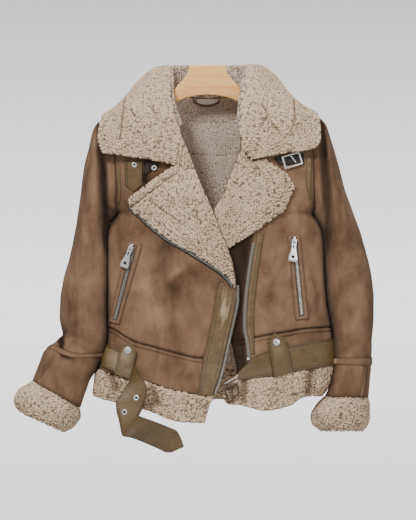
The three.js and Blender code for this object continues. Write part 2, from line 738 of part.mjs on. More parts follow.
cover("belt_back", "strap", 22, 2, on("back", (u, v) => {
  const w = (1 - Math.cos(Math.PI * u)) / 2;
  const x = mix(-187, 225, w);
  const z = mix(-519, -518, w) + mix(-0.5, 0.5, v) * mix(41, BELT_WIDTH, w);
  return [clamp(x, SIDE(z, 1) + 0.2, SIDE(z, 2) - 0.2), z];
}), BELT_OUT, BELT_OUT + STRAP);
const LOOP_OUT = 5.1;
// Belt loops: pointed tabs, foot left, foot right, shoulder right, point, shoulder left
const LOOPS = {
  right: { foot: [[-165, -559], [-138.5, -568]], shoulder: [[-155, -510], [-126.5, -518]], tip: [-137, -500.5] },
  left: { foot: [[119.7, -564], [153, -554]], shoulder: [[109, -501], [140.5, -496]], tip: [120, -484.5] },
};
for (const side of ["right", "left"]) {
  const l = LOOPS[side];
  cover(`belt_loop_${side}`, "strap", 3, 8, on(side, (u, v) => {
    const lower = l.foot[0].map((k, i) => mix(k, l.foot[1][i], u));
    const upper = l.shoulder[0].map((k, i) => mix(k, l.shoulder[1][i], u));
    const peak = 1 - Math.abs(2 * u - 1);
    const rise = [0, 1].map((i) => upper[i] + (l.tip[i] - mix(l.shoulder[0][i], l.shoulder[1][i], 0.5)) * peak);
    return v < 0.75
      ? lower.map((k, i) => mix(k, upper[i], v / 0.75))
      : upper.map((k, i) => mix(k, rise[i], (v - 0.75) / 0.25));
  }), LOOP_OUT, LOOP_OUT + 2.2);
  const c = side === "right" ? [-141.5, -516] : [123, -501];
  const p = body(side, ...c);
  const n = bodyNormal(side, ...c);
  const w = unit(cross(n, [0, 0, 1]));
  const s = cross(w, n);
  plate(`rivet_${side}`, "metal", circle(0, 0, 6.3, 16), [],
    (a, b, h) => add(add(add(p, w, a), s, b), n, h), LOOP_OUT + 2.8, LOOP_OUT + 4.6);
}
// Free end of the belt: both edges of the ribbon as it hangs
const TAIL = [
  [[-137, -55.5, -564], [-131, -56.5, -541]],
  [[-140, -66, -571], [-119, -80, -562]],
  [[-146, -74, -580], [-110, -90, -583]],
  [[-156, -79, -597], [-110, -91, -595]],
  [[-164, -82, -610], [-115, -90, -610]],
  [[-163, -84, -623], [-118, -88, -621]],
  [[-158, -85, -643], [-121.5, -86, -628]],
  [[-152, -85, -668], [-124, -84, -632]],
  [[-138, -88, -671], [-101, -82, -641]],
  [[-116, -87, -679], [-85.5, -80, -647]],
  [[-86, -84, -692], [-71, -78, -653]],
  [[-74, -83, -697.5], [-56, -78, -660]],
  [[-65, -82, -698], [-49, -79, -671]],
  [[-56, -81, -694], [-43, -80, -688]],
];
const tailLeft = curve(TAIL.map((r) => r[0]));
const tailRight = curve(TAIL.map((r) => r[1]));
sheet("belt_tail", "strap", 34, 3, (u, v) => {
  const a = tailLeft(u);
  const b = tailRight(u);
  return a.map((k, i) => mix(k, b[i], v));
}, STRAP);
// Buckle end of the belt
cover("belt_lead", "strap", 8, 2, on("left", (u, v) => {
  const top = curve([[112, -516], [86, -526], [68, -543], [55, -556]])(u);
  const foot = curve([[118, -562], [86, -565], [68, -567], [56, -569]])(u);
  return top.map((k, i) => mix(foot[i], k, v));
}), BELT_OUT - 0.2, BELT_OUT + STRAP - 0.6);

// Throat straps under the collar
const patch = (a, b, c, d) => (u, v) => [0, 1].map((k) => mix(mix(a[k], b[k], u), mix(d[k], c[k], u), v));
const TAB = { left: -147, right: -118, top: -176, foot: -217.5, tip: -229 };
cover("throat_tab", "strap", 4, 6, on("right", (u, v) => {
  const x = mix(TAB.left, TAB.right, u);
  const end = mix(TAB.tip, TAB.foot, Math.abs(2 * u - 1));
  return [x, mix(end, TAB.top, v)];
}), 0.6, 3.4);
cover("throat_strap_right", "leather", 4, 4,
  on("right", patch([-112, -199], [-88, -184], [-88, -174], [-112, -174])), 0.6, 3.2);
cover("throat_strap_left", "leather", 6, 3,
  on("left", patch([128, -181], [173, -181], [173, -162], [120, -169])), 0.6, 2.6);

const bodyFrame = (side, x, z, turn, out) => {
  const p = body(side, x, z);
  const n = bodyNormal(side, x, z);
  const w = unit(cross(n, [0, 0, 1]));
  const up = cross(w, n);
  const c = Math.cos(turn);
  const s = Math.sin(turn);
  const sideways = add(w.map((v) => v * -c), up, s);
  const along = cross(n, sideways);
  return (a, b, h) => add(add(add(p, sideways, a), along, b), n, h + out);
};
const neckBuckle = bodyFrame("left", 152, -173.5, 0.29, 3.4);
plate("throat_buckle", "metal", box(-17, 17, -12, 12), [box(-14, 14, -9, 9)], neckBuckle, 0, 2.4);
// Pin between two places of the front, lying over the cloth
function pin(name, side, from, to, wide, h0, h1) {
  const d = unit([to[0] - from[0], to[1] - from[1]]);
  cover(name, "metal", 1, 1, on(side, (u, v) => {
    const w = mix(-0.5, 0.5, u) * wide;
    return [0, 1].map((k) => mix(from[k], to[k], v) + [-d[1], d[0]][k] * w);
  }), h0, h1);
}
pin("throat_prong", "left", [150, -166], [158.5, -177.5], 2, 3.5, 5.3);
// Buckle at the belt's end, seen at a slant, hanging before the hem's corner
const slanted = (p) => add(body("left", ...p), bodyNormal("left", ...p), 0.8);
const BUCKLE = [[27, -581], [38, -614], [58, -592], [54, -573]];
const buckleMid = [44.2, -590];
wall("belt_buckle", "leather",
  BUCKLE.map((p) => [add(slanted(p), [0, -4, 0]), slanted(p)]),
  BUCKLE.map((p) => {
    const q = p.map((k, i) => mix(k, buckleMid[i], 0.3));
    return [add(slanted(q), [0, -4, 0]), slanted(q)];
  }), true);
pin("belt_prong", "left", [54.3, -562.5], [31, -575.5], 2.2, 2, 4);
pin("zip_end", "left", [73.4, -529], [72.9, -533.2], 5, 1, 3.2);
const eyelets = [
  ["eyelet_tab", (a, b, h) => bodyFrame("right", -131.5, -181.5, 0, 3.7)(a, b, h), 4.3],
  ["eyelet_strap", (a, b, h) => bodyFrame("right", -96, -187, 0, 3.5)(a, b, h), 4.3],
];
for (const [name, frame, r] of eyelets)
  plate(name, "metal", circle(0, 0, r, 14), [circle(0, 0, r * 0.45, 10)], frame, 0, 1.2);

// Hanger: a flat arched board whose arms run under the shoulder seams
const HANGER_THICK = 13;
const crown = [
  [0, 33], [-8, 34.5], [-16, 36.5], [-26, 44], [-38, 55], [-50, 64],
];
const half = [
  ...crown.map(([z, x]) => [x, z]),
  [70, -58], [110, -76], [150, -95], [158, -102], [156, -110], [146, -112],
  [110, -97], [70, -76], [62, -70], [40, -60], [20, -55.5],
];
plate("hanger", "wood", [...half, [0, -54], ...[...half].reverse().map(([x, z]) => [-x, z])], [],
  (x, z, h) => [x, h, z], -HANGER_THICK / 2, HANGER_THICK / 2);

// Hanging loop and blank label at the back neck, on the inside of the back
const inside = (h) => (u, v, x0, x1, z0, z1) => {
  const x = mix(x0, x1, u);
  const z = mix(z0, z1, v);
  return add(body("back", x, z), bodyNormal("back", x, z), h);
};
sheet("neck_label", "label", 8, 2, (u, v) => inside(-SHELL - 1.2)(u, v, -22, 22, -76, -66), 0.8);
sheet("hanging_loop", "leather", 14, 1, (u, v) => {
  const x = mix(-24, 24, u);
  const z = -63.5 - 13 * Math.sqrt(Math.sin(Math.PI * clamp(u, 0.001, 0.999))) - 4 * v;
  return add(body("back", x, z), bodyNormal("back", x, z), -SHELL - 2.6);
}, 1.4);

export default root;
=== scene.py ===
"""Sherpa lined biker jacket on its hanger: cloth, fleece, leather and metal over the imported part."""

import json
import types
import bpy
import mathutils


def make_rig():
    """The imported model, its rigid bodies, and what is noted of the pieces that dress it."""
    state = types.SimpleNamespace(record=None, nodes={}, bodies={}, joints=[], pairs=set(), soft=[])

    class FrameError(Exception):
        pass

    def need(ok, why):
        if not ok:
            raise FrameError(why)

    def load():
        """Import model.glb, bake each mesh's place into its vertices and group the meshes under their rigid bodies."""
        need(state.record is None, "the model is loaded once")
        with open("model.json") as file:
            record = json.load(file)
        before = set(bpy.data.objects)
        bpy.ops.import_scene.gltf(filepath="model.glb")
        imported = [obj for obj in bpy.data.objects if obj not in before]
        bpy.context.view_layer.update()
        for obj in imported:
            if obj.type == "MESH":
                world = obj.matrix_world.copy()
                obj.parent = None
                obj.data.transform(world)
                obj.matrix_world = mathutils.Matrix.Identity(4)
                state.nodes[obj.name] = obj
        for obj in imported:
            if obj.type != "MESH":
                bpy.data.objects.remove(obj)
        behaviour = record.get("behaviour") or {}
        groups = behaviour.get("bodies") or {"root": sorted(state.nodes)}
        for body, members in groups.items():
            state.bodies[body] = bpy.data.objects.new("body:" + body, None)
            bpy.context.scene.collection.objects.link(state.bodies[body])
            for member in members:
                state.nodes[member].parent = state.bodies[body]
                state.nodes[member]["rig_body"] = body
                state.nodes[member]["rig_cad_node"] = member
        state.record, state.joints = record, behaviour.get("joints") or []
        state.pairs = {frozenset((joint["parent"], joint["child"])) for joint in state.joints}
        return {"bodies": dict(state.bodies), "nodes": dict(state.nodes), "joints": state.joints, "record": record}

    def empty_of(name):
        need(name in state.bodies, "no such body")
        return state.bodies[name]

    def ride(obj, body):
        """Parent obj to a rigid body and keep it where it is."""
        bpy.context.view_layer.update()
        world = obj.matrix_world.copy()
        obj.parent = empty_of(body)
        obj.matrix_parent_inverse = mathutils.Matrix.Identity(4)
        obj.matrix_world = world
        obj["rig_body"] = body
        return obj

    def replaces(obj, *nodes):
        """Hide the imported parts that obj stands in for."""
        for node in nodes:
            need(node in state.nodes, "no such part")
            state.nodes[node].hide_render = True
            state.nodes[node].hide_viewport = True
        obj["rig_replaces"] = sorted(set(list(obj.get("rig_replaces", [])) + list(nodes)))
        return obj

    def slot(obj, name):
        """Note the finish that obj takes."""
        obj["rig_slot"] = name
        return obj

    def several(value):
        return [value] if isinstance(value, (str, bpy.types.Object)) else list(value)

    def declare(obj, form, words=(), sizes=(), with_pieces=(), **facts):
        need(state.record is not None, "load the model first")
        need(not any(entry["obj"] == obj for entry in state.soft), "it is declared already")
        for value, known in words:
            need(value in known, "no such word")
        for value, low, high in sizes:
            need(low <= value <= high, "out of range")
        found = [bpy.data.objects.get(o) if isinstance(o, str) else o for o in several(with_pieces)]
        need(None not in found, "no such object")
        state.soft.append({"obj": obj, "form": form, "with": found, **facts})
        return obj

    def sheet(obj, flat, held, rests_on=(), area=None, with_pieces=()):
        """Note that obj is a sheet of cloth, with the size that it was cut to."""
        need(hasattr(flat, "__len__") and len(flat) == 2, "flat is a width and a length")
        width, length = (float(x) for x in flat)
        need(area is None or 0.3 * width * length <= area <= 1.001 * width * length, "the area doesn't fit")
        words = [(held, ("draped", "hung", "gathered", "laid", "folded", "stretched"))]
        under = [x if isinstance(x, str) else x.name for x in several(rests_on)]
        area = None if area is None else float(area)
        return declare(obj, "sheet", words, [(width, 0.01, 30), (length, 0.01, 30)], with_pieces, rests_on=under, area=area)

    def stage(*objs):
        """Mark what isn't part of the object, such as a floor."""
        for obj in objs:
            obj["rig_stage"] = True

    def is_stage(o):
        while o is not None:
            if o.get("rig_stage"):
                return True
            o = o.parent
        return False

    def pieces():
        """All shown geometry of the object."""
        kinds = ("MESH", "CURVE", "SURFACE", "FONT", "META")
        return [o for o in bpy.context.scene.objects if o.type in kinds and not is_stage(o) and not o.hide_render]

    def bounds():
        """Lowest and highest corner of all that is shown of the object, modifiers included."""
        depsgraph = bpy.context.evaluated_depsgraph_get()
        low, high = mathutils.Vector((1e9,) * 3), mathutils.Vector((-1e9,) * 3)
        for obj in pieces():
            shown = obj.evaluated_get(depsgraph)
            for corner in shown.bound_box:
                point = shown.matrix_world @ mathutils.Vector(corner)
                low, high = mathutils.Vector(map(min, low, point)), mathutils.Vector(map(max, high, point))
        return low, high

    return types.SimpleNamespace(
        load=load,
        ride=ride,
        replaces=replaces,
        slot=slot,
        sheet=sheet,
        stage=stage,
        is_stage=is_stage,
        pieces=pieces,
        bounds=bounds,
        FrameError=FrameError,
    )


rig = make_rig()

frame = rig.load()
CAD_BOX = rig.bounds()

import json
import math

import bmesh
import bpy
import numpy as np
from mathutils import Vector

bl_info = {
    "name": "Sherpa lined jacket",
    "version": (1, 0, 0),
    "blender": (4, 5, 0),
    "location": "3D View > Sidebar > Jacket",
    "description": "Builds a suede and fleece biker jacket on a wooden hanger",
    "category": "Object",
}

# Metres in a millimetre. Lengths are in millimetres, apart from those of the stage, the lights and the settings.
# Heights are negative below the hanger's crown.
MM = 0.001
# Thickness of the lined suede and of the turned-back fleece, and the gap that a seam leaves between panels
SHELL, FLEECE, SEAM = 4.5, 8.0, 0.3
# Half the neck's width, and from there to the shoulder's tip
NECK_HALF, SHOULDER_RUN = 70, 103
# Heights of the neck, the shoulder's tip, the foot of the shoulders' arch and the armpit
NECK_Z, TIP_Z, CAP_Z, ARMPIT_Z = -48, -96, -182, -268
# Armhole: half its width, height of its centre, half its height
ARMHOLE_HALF, ARMHOLE_Z, ARMHOLE_REACH = 46, -182.5, 86
# How square the arch of the shoulders is, seen from the side
ARCH = 2.2
SLEEVE_LONG = 520.0
# The picture: half its height and the place of its centre, and the camera's sensor
PICTURE_HALF, PICTURE_X, PICTURE_Z, SENSOR = 468, 0.9, -352.8, 36


# Numbers
def mix(a, b, t):
    """From a to b by the share t."""
    return a + (b - a) * t


def rise(a, b, v):
    """A smooth step of v from 0 at a to 1 at b."""
    t = np.clip((np.asarray(v, float) - a) / (b - a), 0, 1)
    return t * t * (3 - 2 * t)


def bell(d):
    """A smooth hump over d: 1 at 0, and nothing much past 2."""
    return np.exp(-(d**2))


def unit(a):
    """Directions with length one."""
    return a / np.maximum(np.linalg.norm(a, axis=-1, keepdims=True), 1e-9)


def track(rows):
    """A smooth function through rows of position and values, without overshoot."""
    table = np.array(sorted(rows), float)
    x, y = table[:, 0], table[:, 1:]
    step = np.diff(x)
    chord = np.diff(y, axis=0) / step[:, None]
    slope = np.vstack([chord[:1], np.zeros((len(x) - 2, y.shape[1])), chord[-1:]])
    a, b = chord[:-1], chord[1:]
    same = a * b > 0
    slope[1:-1][same] = 2 * a[same] * b[same] / (a[same] + b[same])

    def at(p):
        q = np.clip(np.asarray(p, float), x[0], x[-1])
        i = np.clip(np.searchsorted(x, q, side="right") - 1, 0, len(x) - 2)
        t = ((q - x[i]) / step[i])[..., None]
        h = step[i][..., None]
        t2, t3 = t * t, t * t * t
        out = (2 * t3 - 3 * t2 + 1) * y[i] + (t3 - 2 * t2 + t) * slope[i] * h
        out = out + (3 * t2 - 2 * t3) * y[i + 1] + (t3 - t2) * slope[i + 1] * h
        return out[..., 0] if y.shape[1] == 1 else out

    return at


def curve(points):
    """A smooth curve through points, at 0 to 1, spaced by index."""
    return track([(i / (len(points) - 1), *p) for i, p in enumerate(points)])


def legs(points):
    """A curve through points with straight legs."""
    p = np.array(points, float)
    share = np.linspace(0, 1, len(p))
    return lambda t: np.stack([np.interp(t, share, p[:, k]) for k in range(p.shape[1])], -1)


def chance(cell, seed):
    """A fixed number from 0 to 1 for each cell of a lattice."""
    c = cell.astype(np.int64)
    h = (c[..., 0] * 73856093) ^ (c[..., 1] * 19349663) ^ (c[..., 2] * 83492791) ^ (seed * 9176213)
    h = (h & 0xFFFFFFFF) * 1274126177 & 0xFFFFFFFF
    h = (h ^ (h >> 15)) * 668265263 & 0xFFFFFFFF
    return ((h ^ (h >> 13)) & 0xFFFFFF) / 0xFFFFFF


def swell(p, size, seed):
    """Smooth noise from -1 to 1 at points p, in lumps of about size."""
    q = p / size
    cell = np.floor(q)
    f = q - cell
    f = f * f * (3 - 2 * f)
    total = 0
    for i in (0, 1):
        for j in (0, 1):
            for k in (0, 1):
                share = np.ones(q.shape[:-1])
                for axis, on in enumerate((i, j, k)):
                    share = share * (f[..., axis] if on else 1 - f[..., axis])
                total = total + share * chance(cell + np.array([i, j, k]), seed)
    return total * 2 - 1


def near_lines(p, lines):
    """How far points are, seen from the front, from the nearest of some lines of x, z places."""
    best = np.full(p.shape[:-1], 1e3)
    flat = p[..., [0, 2]]
    for line in lines:
        for a, b in zip(line, line[1:]):
            a, b = np.array(a, float), np.array(b, float)
            t = np.clip(((flat - a) @ (b - a)) / np.dot(b - a, b - a), 0, 1)
            best = np.minimum(best, np.linalg.norm(flat - a - t[..., None] * (b - a), axis=-1))
    return best


def curls(p, size, seed):
    """Curled fleece at points p: height of the lumps from 0 to 1."""
    warp = np.stack([swell(p, size * 1.7, seed + k) for k in range(3)], -1)
    q = (p + warp * size * 0.45) / size
    cell = np.floor(q)
    first = np.full(q.shape[:-1], 9.0)
    second = first.copy()
    for i in (-1, 0, 1):
        for j in (-1, 0, 1):
            for k in (-1, 0, 1):
                c = cell + np.array([i, j, k])
                place = c + 0.1 + 0.8 * np.stack([chance(c, seed + 10 + a) for a in range(3)], -1)
                d = np.linalg.norm(q - place, axis=-1)
                second = np.minimum(second, np.maximum(first, d))
                first = np.minimum(first, d)
    border = rise(0.0, 0.2, second - first)
    return border * np.clip(1 - 0.9 * first**2, 0, 1)


# Form of the body
# Outline of the body by height: right side, left side, half depth
SIDE = track([
    (-40, -172.6, 191, 57), (-97, -172.6, 191, 57), (-175, -166.6, 191.5, 57), (-268, -164, 193, 60),
    (-285, -173.5, 202.5, 60), (-300, -181, 209.5, 60), (-320, -184, 214, 60), (-345, -184.7, 215.5, 60),
    (-384, -185, 216, 60), (-432, -184.5, 219.5, 59), (-460, -183.5, 225, 58), (-498, -184.5, 230, 56),
    (-520, -188.5, 231, 57), (-539, -196.5, 231, 58), (-570, -205, 226, 63), (-590, -207, 214, 65),
    (-610, -204, 198, 65), (-650, -198, 192, 65),
])
EDGE_RIGHT = track([
    (-48, -70), (-85, -61), (-128, -46), (-153, -36), (-206, -17), (-250, 3), (-298, 22), (-332, 36),
    (-365, 46), (-390, 50), (-404, 51), (-423, 51), (-452, 46), (-496, 36), (-539, 26.6), (-573, 17),
    (-597, 8), (-620, 0), (-646, -7),
])
EDGE_LEFT = track([
    (-48, 70), (-85, 64), (-119, 60), (-148, 60), (-163, 56), (-201, 41), (-240, 27), (-264, 12),
    (-318, -8), (-372, -20), (-430, 10), (-500, 43), (-554, 53), (-575, 42), (-596, 30), (-620, 38),
])
FOLDS = [
    {"face": "right", "x": -92, "z": -380, "long": 90, "wide": 17, "lean": 0.25, "deep": 3},
    {"face": "right", "x": -40, "z": -440, "long": 60, "wide": 14, "lean": -0.3, "deep": 2.5},
    {"face": "right", "x": -140, "z": -280, "long": 50, "wide": 12, "lean": 0.1, "deep": 3},
    {"face": "left", "x": 120, "z": -330, "long": 60, "wide": 15, "lean": 0.35, "deep": 2.5},
    {"face": "left", "x": 125, "z": -430, "long": 60, "wide": 14, "lean": -0.2, "deep": 2.5},
    {"face": "left", "x": 186, "z": -330, "long": 60, "wide": 10, "lean": -0.15, "deep": 3},
    {"face": "back", "x": -60, "z": -350, "long": 110, "wide": 24, "lean": 0.1, "deep": 5},
    {"face": "back", "x": 80, "z": -340, "long": 120, "wide": 26, "lean": -0.1, "deep": 5},
]
# Small creases that only the cloth's surface shows: face, x, z, long, wide, lean, deep
CREASES = [
    ("right", -150, -300, 26, 5, 0.35, 1.6), ("right", -120, -300, 34, 7, 0.9, 1.2),
    ("right", 0, -430, 46, 8, -0.35, 1.5), ("right", -60, -500, 14, 5, 1.6, 1.2),
    ("right", -30, -330, 40, 9, 0.7, 1.6), ("right", -100, -540, 16, 6, 0.6, 1.4),
    ("left", 178, -290, 30, 5, -0.4, 1.6), ("left", 110, -470, 20, 6, -0.9, 1.2),
    ("left", 190, -450, 24, 6, -0.7, 1.4), ("left", 150, -490, 10, 5, 1.8, 1.4),
    ("left", 40, -430, 60, 9, 0.2, 1.8), ("left", 20, -360, 60, 8, 0.1, 1.4),
    ("back", -130, -300, 40, 9, 0.6, 2.5), ("back", 150, -310, 44, 10, -0.6, 2.5),
    ("back", 0, -440, 40, 10, 0.1, 2.0),
]
# Places kept even under the fittings: x, z, reach
CALM = [(-142, -350, 40), (152, -340, 40), (-141, -516, 22), (123, -501, 22), (152, -173, 26)]


def ridge(x):
    """Height of the shoulders' line."""
    a = np.abs(x)
    neck = NECK_Z + 60 * (1 - (np.minimum(a, NECK_HALF) / NECK_HALF) ** 2)
    slope = np.clip((a - NECK_HALF) / SHOULDER_RUN, 0, 1.15)
    return np.where(a < NECK_HALF, neck, mix(NECK_Z, TIP_Z, slope))


def overlap(x, z):
    """How far the right front lies over the left one."""
    low = mix(10, 15, rise(-475, -375, z))
    high = mix(15, 3, rise(-250, -170, z))
    return rise(-100, -30, x) * np.where(z > -300, high, low)


def body(face, x, z):
    """Points of the body's outside on the right front, left front or back."""
    x, z = np.broadcast_arrays(np.asarray(x, float), np.asarray(z, float))
    side = SIDE(z)
    left, right, half = side[..., 0], side[..., 1], side[..., 2]
    t = np.clip((2 * x - left - right) / (right - left), -1, 1)
    k = np.clip((z - CAP_Z) / (ridge(x) - CAP_Z), 0, 1)
    depth = half * (1 - k**ARCH) ** (1 / ARCH)
    reach = (z - ARMHOLE_Z) / ARMHOLE_REACH
    hole = np.where(z < ARMPIT_Z, 0, ARMHOLE_HALF * np.sqrt(np.clip(1 - reach**2, 0, 1)))
    hole = np.minimum(hole, depth)
    s = (1 - np.abs(t) ** 3) ** (1 / 3)
    dent = 0
    for f in FOLDS:
        if f["face"] == face:
            across = (x - f["x"] - f["lean"] * (z - f["z"])) / f["wide"]
            dent = dent + f["deep"] * bell(across) * bell((z - f["z"]) / f["long"])
    y = hole + (depth - hole) * s - dent * s
    if face == "right":
        y = y + overlap(x, z)
    y = np.maximum(y, 0.2)
    return np.stack([x, y if face == "back" else -y, z], -1)


def body_normal(face, x, z):
    """Directions out of the body's cloth."""
    d = 2.5
    side = SIDE(z)
    a = body(face, np.minimum(x + d, side[..., 1]), z) - body(face, np.maximum(x - d, side[..., 0]), z)
    b = body(face, x, z + d) - body(face, x, z - d)
    n = unit(np.cross(a, b))
    return -n if face == "back" else n


def ripple(face, x, z):
    """Soft unevenness and small creases of the hanging cloth, as lift along its normal."""
    x, z = np.broadcast_arrays(np.asarray(x, float), np.asarray(z, float))
    p = np.stack([x, np.full_like(x, {"right": 0.0, "left": 400.0, "back": 800.0}[face]), z], -1)
    lift = swell(p * [1, 1, 0.6], 42, 5) * 1.1 + swell(p, 17, 9) * 0.35
    for where, cx, cz, long, wide, lean, deep in CREASES:
        if where == face:
            across = (x - cx - lean * (z - cz)) / wide
            lift = lift - deep * (bell(across) - 0.6 * bell(across - 1.6)) * bell((z - cz) / long)
    for cx, cz, reach in CALM:
        lift = lift * (1 - bell(np.hypot(x - cx, z - cz) / reach))
    return lift * rise(0, 30, -z - 60)


# Seams and edges of each face by x: waist seam, hem seam, lower edge, upper edge; and its two sides by height
WAIST = {
    "right": track([
        (-210, -470), (-183, -473), (-131, -500), (-98, -509), (-57, -520), (-15, -529), (60, -532),
    ]),
    "left": track([(-20, -500), (60, -497), (81, -493), (113, -487), (143, -482), (170, -477), (230, -473)]),
    "back": lambda x: np.full_like(x, -473.0),
}
HEM_SEAM = {
    "right": track([
        (-208, -545), (-181, -556), (-137, -567), (-98, -575), (-70, -586), (-43, -591), (8, -597), (40, -597),
    ]),
    "left": track([(20, -558), (86, -560), (120, -556), (153, -549), (186, -543), (235, -538)]),
    "back": track([(-208, -545), (235, -538)]),
}
HEM = {
    "right": track([
        (-208, -596), (-190, -602), (-164, -608), (-117, -619), (-94, -627), (-71, -637), (-49, -642),
        (-7, -644), (30, -645),
    ]),
    "left": track([
        (20, -598), (38, -610), (62, -613), (103, -622), (148, -614), (172, -600), (193, -597), (215, -598),
    ]),
    "back": track([(-208, -596), (0, -604), (215, -598)]),
}
TOP = {
    "right": lambda x: np.where(x > -NECK_HALF, NECK_Z - 0.01, ridge(x)),
    "left": lambda x: np.where(x < NECK_HALF, NECK_Z - 0.01, ridge(x)),
    "back": lambda x: np.where(np.abs(x) < NECK_HALF, NECK_Z - 14 * (1 - (x / NECK_HALF) ** 2), ridge(x)),
}
SIDES = {
    "right": (lambda z: SIDE(z)[..., 0], EDGE_RIGHT),
    "left": (lambda z: SIDE(z)[..., 1], EDGE_LEFT),
    "back": (lambda z: SIDE(z)[..., 0], lambda z: SIDE(z)[..., 1]),
}

# Leather bands and zips of the front edges and armholes
BAND_RIGHT = track([(-384, 44), (-394, 22), (-438, 12), (-486, 3), (-529, -7), (-577, -14), (-599, -19)])
ZIP_LEFT = track([(-293, 89), (-338, 80), (-390, 72.5), (-438, 67.7), (-472, 66.8), (-505, 72), (-529, 74.5)])
BAND_LEFT = track([(-293, 101.5), (-390, 87), (-457, 82), (-520, 83)])
TAPE_RIGHT = track([(-166, -158), (-225, -156.5), (-250, -158)])
TAPE_LEFT = track([(-162, 178), (-211, 178), (-254, 186)])

# Form of the sleeves: rings as outer x, z, inner x, z and half depth
ARMS = {
    "right": [
        (-172.3, -98, -162.3, -267, 45), (-193, -102, -174, -280, 50), (-207, -119, -184, -297, 54),
        (-214, -148, -186.4, -318, 57), (-222, -182, -186.6, -337, 58), (-229, -235, -186.6, -357, 59),
        (-238.5, -293, -186.8, -378, 60), (-248, -341, -186.8, -400, 60), (-260, -385, -186.4, -425, 58),
        (-266, -423, -185.8, -449, 57), (-267, -457, -186.4, -471, 55), (-262.5, -486, -188.5, -493, 53),
        (-273, -498, -192.5, -512, 52), (-296, -517, -199.5, -533, 51), (-306, -544, -212.5, -572, 49),
        (-316.5, -570, -229, -618.5, 46),
    ],
    "left": [
        (190.3, -94, 191.7, -267.5, 45), (201, -96, 203, -284, 50), (212.5, -107, 212, -304, 54),
        (224, -139, 215.5, -322, 57), (236.5, -182, 216.6, -340, 58), (249, -225, 217.2, -358, 59),
        (263, -264, 217.4, -379, 60), (278, -307, 218, -399, 60), (289.5, -351, 220, -420, 58),
        (297, -390, 222.5, -441, 57), (300, -423, 226.5, -463, 56), (300, -457, 230.8, -488, 54),
        (298, -496, 233.5, -510, 52), (297, -534, 235.5, -534, 50), (294, -568, 230, -562, 49),
        (291, -600.5, 212, -598.6, 48),
    ],
}
CUFFS = {
    "right": [
        (-317.5, -570.5, -230, -619, 46), (-343, -590, -229.5, -634, 54), (-350, -606, -236, -647, 57),
        (-346, -619, -246, -657, 56), (-338, -627, -258, -663, 50),
    ],
    "left": [
        (291.3, -601, 209.5, -599.2, 48), (293, -618, 195, -617, 56), (293, -634, 187, -634, 58),
        (290, -650, 189, -648, 57), (281, -661, 203, -660, 50),
    ],
}
# Where a sleeve meets the body on the front, by height
GROOVE = {
    "right": track([(-95, -194), (-125, -193), (-142, -191.7), (-195, -187), (-262, -185), (-335, -183)]),
    "left": track([(-94, 204), (-165, 210), (-210, 213.5), (-262, 216), (-335, 217.5)]),
}
# How far the front of a sleeve's inner side leans on the body, by height
LEAN = {
    "right": track([(-575, 0), (-545, 11), (-500, 11), (-450, 8), (-320, 8), (-270, 10), (-250, 0)]),
    "left": track([(-590, 0), (-560, 10), (-530, 10), (-480, 7), (-300, 7), (-270, 9), (-250, 0)]),
}
# Creases of the sleeves: along, round, reach, sweep, slant, deep
ARM_CREASES = {
    "right": [
        (0.73, 0.1, 0.03, 0.16, 0.25, 7), (0.8, 0.2, 0.025, 0.12, 0.25, 5), (0.62, 0.32, 0.03, 0.12, 0.25, 4),
        (0.9, 0.22, 0.03, 0.1, 0.25, -3),
    ],
    "left": [
        (0.7, 0.3, 0.03, 0.14, 0.25, 4), (0.83, 0.34, 0.025, 0.12, 0.25, 5), (0.5, 0.18, 0.05, 0.1, 0.25, 3),
    ],
}
# Small creases that only the sleeve's surface shows, in the same order
FINE_CREASES = {
    "right": [
        (0.77, 0.06, 0.012, 0.1, 0.5, 3), (0.69, 0.2, 0.014, 0.1, -0.3, 1.5), (0.55, 0.12, 0.02, 0.1, 0.4, 1.3),
        (0.35, 0.3, 0.03, 0.12, 0.5, 1.4), (0.22, 0.12, 0.03, 0.12, -0.4, 1.2),
        (0.84, 0.33, 0.012, 0.08, 0.5, 1.6),
    ],
    "left": [
        (0.76, 0.12, 0.016, 0.1, -0.4, 1.5), (0.62, 0.36, 0.016, 0.1, 0.5, 1.6),
        (0.4, 0.3, 0.03, 0.12, 0.5, 1.5),
        (0.25, 0.16, 0.03, 0.12, -0.5, 1.3), (0.93, 0.3, 0.014, 0.1, 0.3, 1.5),
    ],
}


def arm(side, a, s, rings=None):
    """Points of a sleeve or cuff: a runs 0 to 1 round it, s 0 to 1 down it."""
    r = curve(rings or ARMS[side])(s)
    turn = 2 * np.pi * a
    c, n = np.cos(turn), np.sin(turn)
    squash = np.sign(n) * np.abs(n) ** 0.85
    x = (r[..., 0] + r[..., 2]) / 2 + (r[..., 0] - r[..., 2]) / 2 * c
    z = (r[..., 1] + r[..., 3]) / 2 + (r[..., 1] - r[..., 3]) / 2 * c
    deep = r[..., 4]
    if rings is None:
        groove = 17 * bell((x - GROOVE[side](z)) / 8) * rise(0.02, 0.1, s) * rise(-345, -275, z)
        deep = deep - np.where(n > 0, groove, 0)
        for along, round_, reach, sweep, slant, by in ARM_CREASES[side]:
            deep = deep - by * bell((s - along - slant * (a - round_)) / reach) * bell((a - round_) / sweep)
        lean = LEAN[side](z) * bell((a - 0.42) / 0.065)
        x = x + np.where(side == "right", lean, -lean)
    return np.stack([x, -deep * squash, z], -1)


def arm_normal(side, a, s, rings=None):
    """Directions out of a sleeve or cuff."""
    e = 0.01
    round_ = arm(side, a + e, s, rings) - arm(side, a - e, s, rings)
    down = arm(side, a, np.minimum(s + e, 1), rings) - arm(side, a, np.maximum(s - e, 0), rings)
    n = unit(np.cross(round_, down))
    r = curve(rings or ARMS[side])(s)
    middle = np.stack([(r[..., 0] + r[..., 2]) / 2, np.zeros(r.shape[:-1]), (r[..., 1] + r[..., 3]) / 2], -1)
    inward = np.sum(n * (arm(side, a, s, rings) - middle), -1, keepdims=True) < 0
    return np.where(inward, -n, n)


